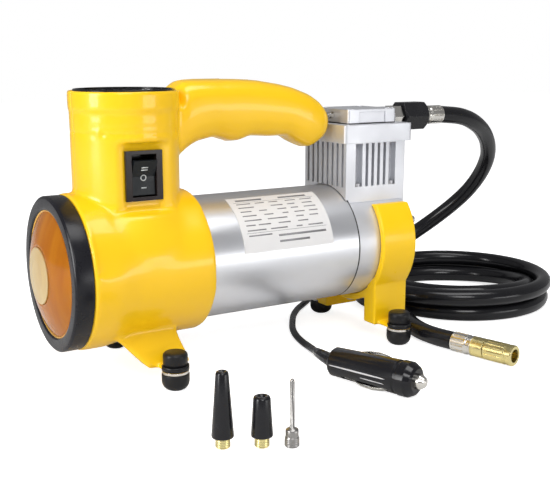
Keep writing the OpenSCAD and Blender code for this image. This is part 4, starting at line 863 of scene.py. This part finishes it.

# Plug: glossy black car plug, with two pale strips laid along its body that are painted
# highlights; its side contacts and its tip are plated and sprung.
plug_black = inflator_finish("plug_black", (0.006, 0.006, 0.008), 0.14, spread=0.03,
                             second=(0.010, 0.010, 0.012), patch=70, edge=0.4, gloss=0.35)
dress(plug_black, "plug_body")
dress(nickel, "plug_contacts", "plug_tip")
# Pale grey for the strips that paint two long highlights on the plug.
plug_highlight_paint = inflator_finish("plug_highlight_paint", (0.62, 0.62, 0.64), 0.2, patch=80, edge=0.4,
                             second=(0.5, 0.5, 0.52))
plug_way = (0.346956, -0.937881)
plug_axis = Vector((plug_way[0], plug_way[1], 0))
plug_side = Vector((plug_way[1], -plug_way[0], 0))
plug_start = Vector((6, -71.5, 9.6))
plug_r = 7.9
plug_flare = 1.2
plug_flare_from = 1.2
plug_flare_length = 39.8
line_steps = 24
line_taper = 0.3


def plug_radius(along):
    """Radius of the plug's body at a distance from its cord end."""
    return plug_r + plug_flare * (along - plug_flare_from) / plug_flare_length


def plug_line(name, start, end, low_turn, high_turn):
    """Thin pale strip laid along the plug's body: a painted highlight."""
    shape = bmesh.new()
    rings = []
    for k in range(line_steps + 1):
        along = start + (end - start) * k / line_steps
        ease = math.sin(math.pi * (k / line_steps)) ** line_taper
        middle = (low_turn + high_turn) / 2
        ring = []
        for turn, lift in ((low_turn, -0.3), (low_turn, 0.05), (middle, 0.16),
                           (high_turn, 0.05), (high_turn, -0.3)):
            a = math.radians(middle + (turn - middle) * ease)
            out = plug_side * math.cos(a) + Vector((0, 0, 1)) * math.sin(a)
            ring.append(shape.verts.new((plug_start + plug_axis * along
                                         + out * (plug_radius(along) + lift)) * mm))
        rings.append(ring)
    skin(shape, rings)
    shape.faces.new(rings[0][::-1])
    shape.faces.new(rings[-1])
    piece(name, shape, plug_highlight_paint)


# Two painted highlights along the plug's body, a long one and a short one.
plug_line("plug_painted_highlight_long", 1.6, 38, -1, 5)
plug_line("plug_painted_highlight_short", 22, 37, -19, -15)

# Nozzles: two black moulded cones pressed on threaded brass stems, and a ball needle
# with a plated hub. They stand on the floor in front of the machine.
cone_black = inflator_finish("cone_black", (0.006, 0.006, 0.008), 0.2, grain=0.05,
                             second=(0.010, 0.010, 0.012), patch=140, gloss=0.35)


def threads(low, high, r, pitch=0.8, depth=0.28):
    """Profile of a turned thread from low to high."""
    line = []
    z = low
    while z < high - pitch / 2:
        line += [(z, r - depth), (z + pitch * 0.35, r), (z + pitch * 0.6, r)]
        z += pitch
    return line + [(high, r - depth)]


# Name, place on the floor, bore's radius and the outside of each cone as (height, radius)
cone_nozzles = [
    ("tall", (-89.2, -120.5), 1.3,
     [(5.0, 4.7), (5.2, 5.05), (5.7, 5.15), (34.8, 2.95), (35.7, 2.6), (36.0, 2.1)]),
    ("short", (-73.6, -128.8), 1.7,
     [(5.0, 4.6), (5.2, 4.95), (5.7, 5.05), (22.8, 3.95), (23.7, 3.6), (24.0, 3.0)])]
nozzle_sides = 64
thread_r = 3.4
cone_foot = 5.0
for size, spot, bore, outside in cone_nozzles:
    cone_top = outside[-1][0]
    cone = [(cone_foot, bore)] + outside + [(cone_top, bore), (cone_foot, bore)]
    stem = [(0.0, bore), (0.0, 2.9)] + threads(0.3, 4.9, thread_r)
    stem += [(cone_foot, 3.0), (cone_foot, bore), (0.0, bore)]
    piece(size + "_cone", lathe(cone, nozzle_sides), cone_black,
          size + "_nozzle", [size + "_nozzle"], upright_at(*spot))
    piece(size + "_stem", lathe(stem, nozzle_sides), pale_brass,
          size + "_nozzle", place=upright_at(*spot))
needle_at = (-62, -135.8)
needle_steel = inflator_finish("needle_steel", (0.36, 0.35, 0.34), 0.3, metal=0.9, edge=0.2,
                               second=(0.3, 0.29, 0.28), patch=200)
needle_sides = 48
needle_bore = [(28.0, 0.0), (28.0, 0.6)]
needle_metal = [(0.0, 0.6), (0.0, 2.9)] + threads(0.3, 4.7, thread_r) + [
    (5.0, 2.9), (5.3, 3.0), (7.8, 3.0), (8.3, 2.7), (8.6, 2.1), (9.1, 1.15), (30.6, 1.1),
    (31.6, 0.85), (32.0, 0.5), (32.0, 0.0)]
piece("needle_body", lathe(needle_bore + needle_metal, needle_sides), needle_steel,
      "ball_needle", ["ball_needle"], upright_at(*needle_at))


# Room: a pale matt floor that keeps the machine's shadow, a white surround that gives
# little light of its own, and soft light from four large lamps.
def seen_directly(tree):
    """Node output that is 1 for the camera's rays, also through glass, and 0 for others."""
    path = tree.nodes.new("ShaderNodeLightPath")
    seen = tree.nodes.new("ShaderNodeMath")
    seen.operation = "MAXIMUM"
    tree.links.new(path.outputs["Is Camera Ray"], seen.inputs[0])
    tree.links.new(path.outputs["Is Transmission Ray"], seen.inputs[1])
    return seen.outputs[0]


def pale(name, colour, lift):
    """Matt surface with a glow that only the camera sees, also through glass."""
    made = bpy.data.materials.new(name)
    made.use_nodes = True
    tree = made.node_tree
    tree.nodes.clear()
    out = tree.nodes.new("ShaderNodeOutputMaterial")
    matt = tree.nodes.new("ShaderNodeBsdfDiffuse")
    matt.inputs["Color"].default_value = (*colour, 1)
    glow = tree.nodes.new("ShaderNodeEmission")
    glow.inputs["Color"].default_value = (1, 1, 1, 1)
    strength = tree.nodes.new("ShaderNodeMath")
    strength.operation = "MULTIPLY"
    strength.inputs[1].default_value = lift
    tree.links.new(seen_directly(tree), strength.inputs[0])
    tree.links.new(strength.outputs[0], glow.inputs["Strength"])
    both = tree.nodes.new("ShaderNodeAddShader")
    tree.links.new(matt.outputs[0], both.inputs[0])
    tree.links.new(glow.outputs[0], both.inputs[1])
    tree.links.new(both.outputs[0], out.inputs["Surface"])
    return made


floor_size = 6
bpy.ops.mesh.primitive_plane_add(size=floor_size, location=(0, 0, 0))
floor = bpy.context.object
floor.name = "studio_floor"
floor.data.materials.append(pale("pale_floor", (0.8, 0.8, 0.8), 0.8))

world = bpy.data.worlds.new("soft_room")
scene.world = world
world.use_nodes = True
sky = world.node_tree
sky_light = sky.nodes["Background"]
sky_light.inputs["Color"].default_value = (0.62, 0.62, 0.63, 1)
sky_light.inputs["Strength"].default_value = 0.42
white_sky = sky.nodes.new("ShaderNodeBackground")
white_sky.inputs["Color"].default_value = (1, 1, 1, 1)
sky_mix = sky.nodes.new("ShaderNodeMixShader")
sky.links.new(seen_directly(sky), sky_mix.inputs[0])
sky.links.new(sky_light.outputs[0], sky_mix.inputs[1])
sky.links.new(white_sky.outputs[0], sky_mix.inputs[2])
sky.links.new(sky_mix.outputs[0], sky.nodes["World Output"].inputs["Surface"])


def softbox(name, place, target, width, height, power):
    """Large rectangular lamp aimed at a point; places and sizes in metres."""
    lamp = bpy.data.lights.new(name, "AREA")
    lamp.shape = "RECTANGLE"
    lamp.size = width
    lamp.size_y = height
    lamp.energy = power
    holder = bpy.data.objects.new(name, lamp)
    holder.location = place
    aim = Vector(target) - Vector(place)
    holder.rotation_euler = aim.to_track_quat("-Z", "Y").to_euler()
    scene.collection.objects.link(holder)


softbox("left_light", (-1.3, -0.12, 0.4), (-0.08, 0, 0.1), 0.45, 0.75, 12)
softbox("front_light", (0.62, -1.15, 0.09), (0, 0, 0.06), 0.7, 0.22, 2.3)
softbox("top_light", (0.0, -0.45, 1.4), (0, 0, 0.06), 1.2, 0.6, 11)
softbox("near_light", (-0.5, -1.3, 0.9), (0, 0, 0.07), 0.6, 0.5, 7)
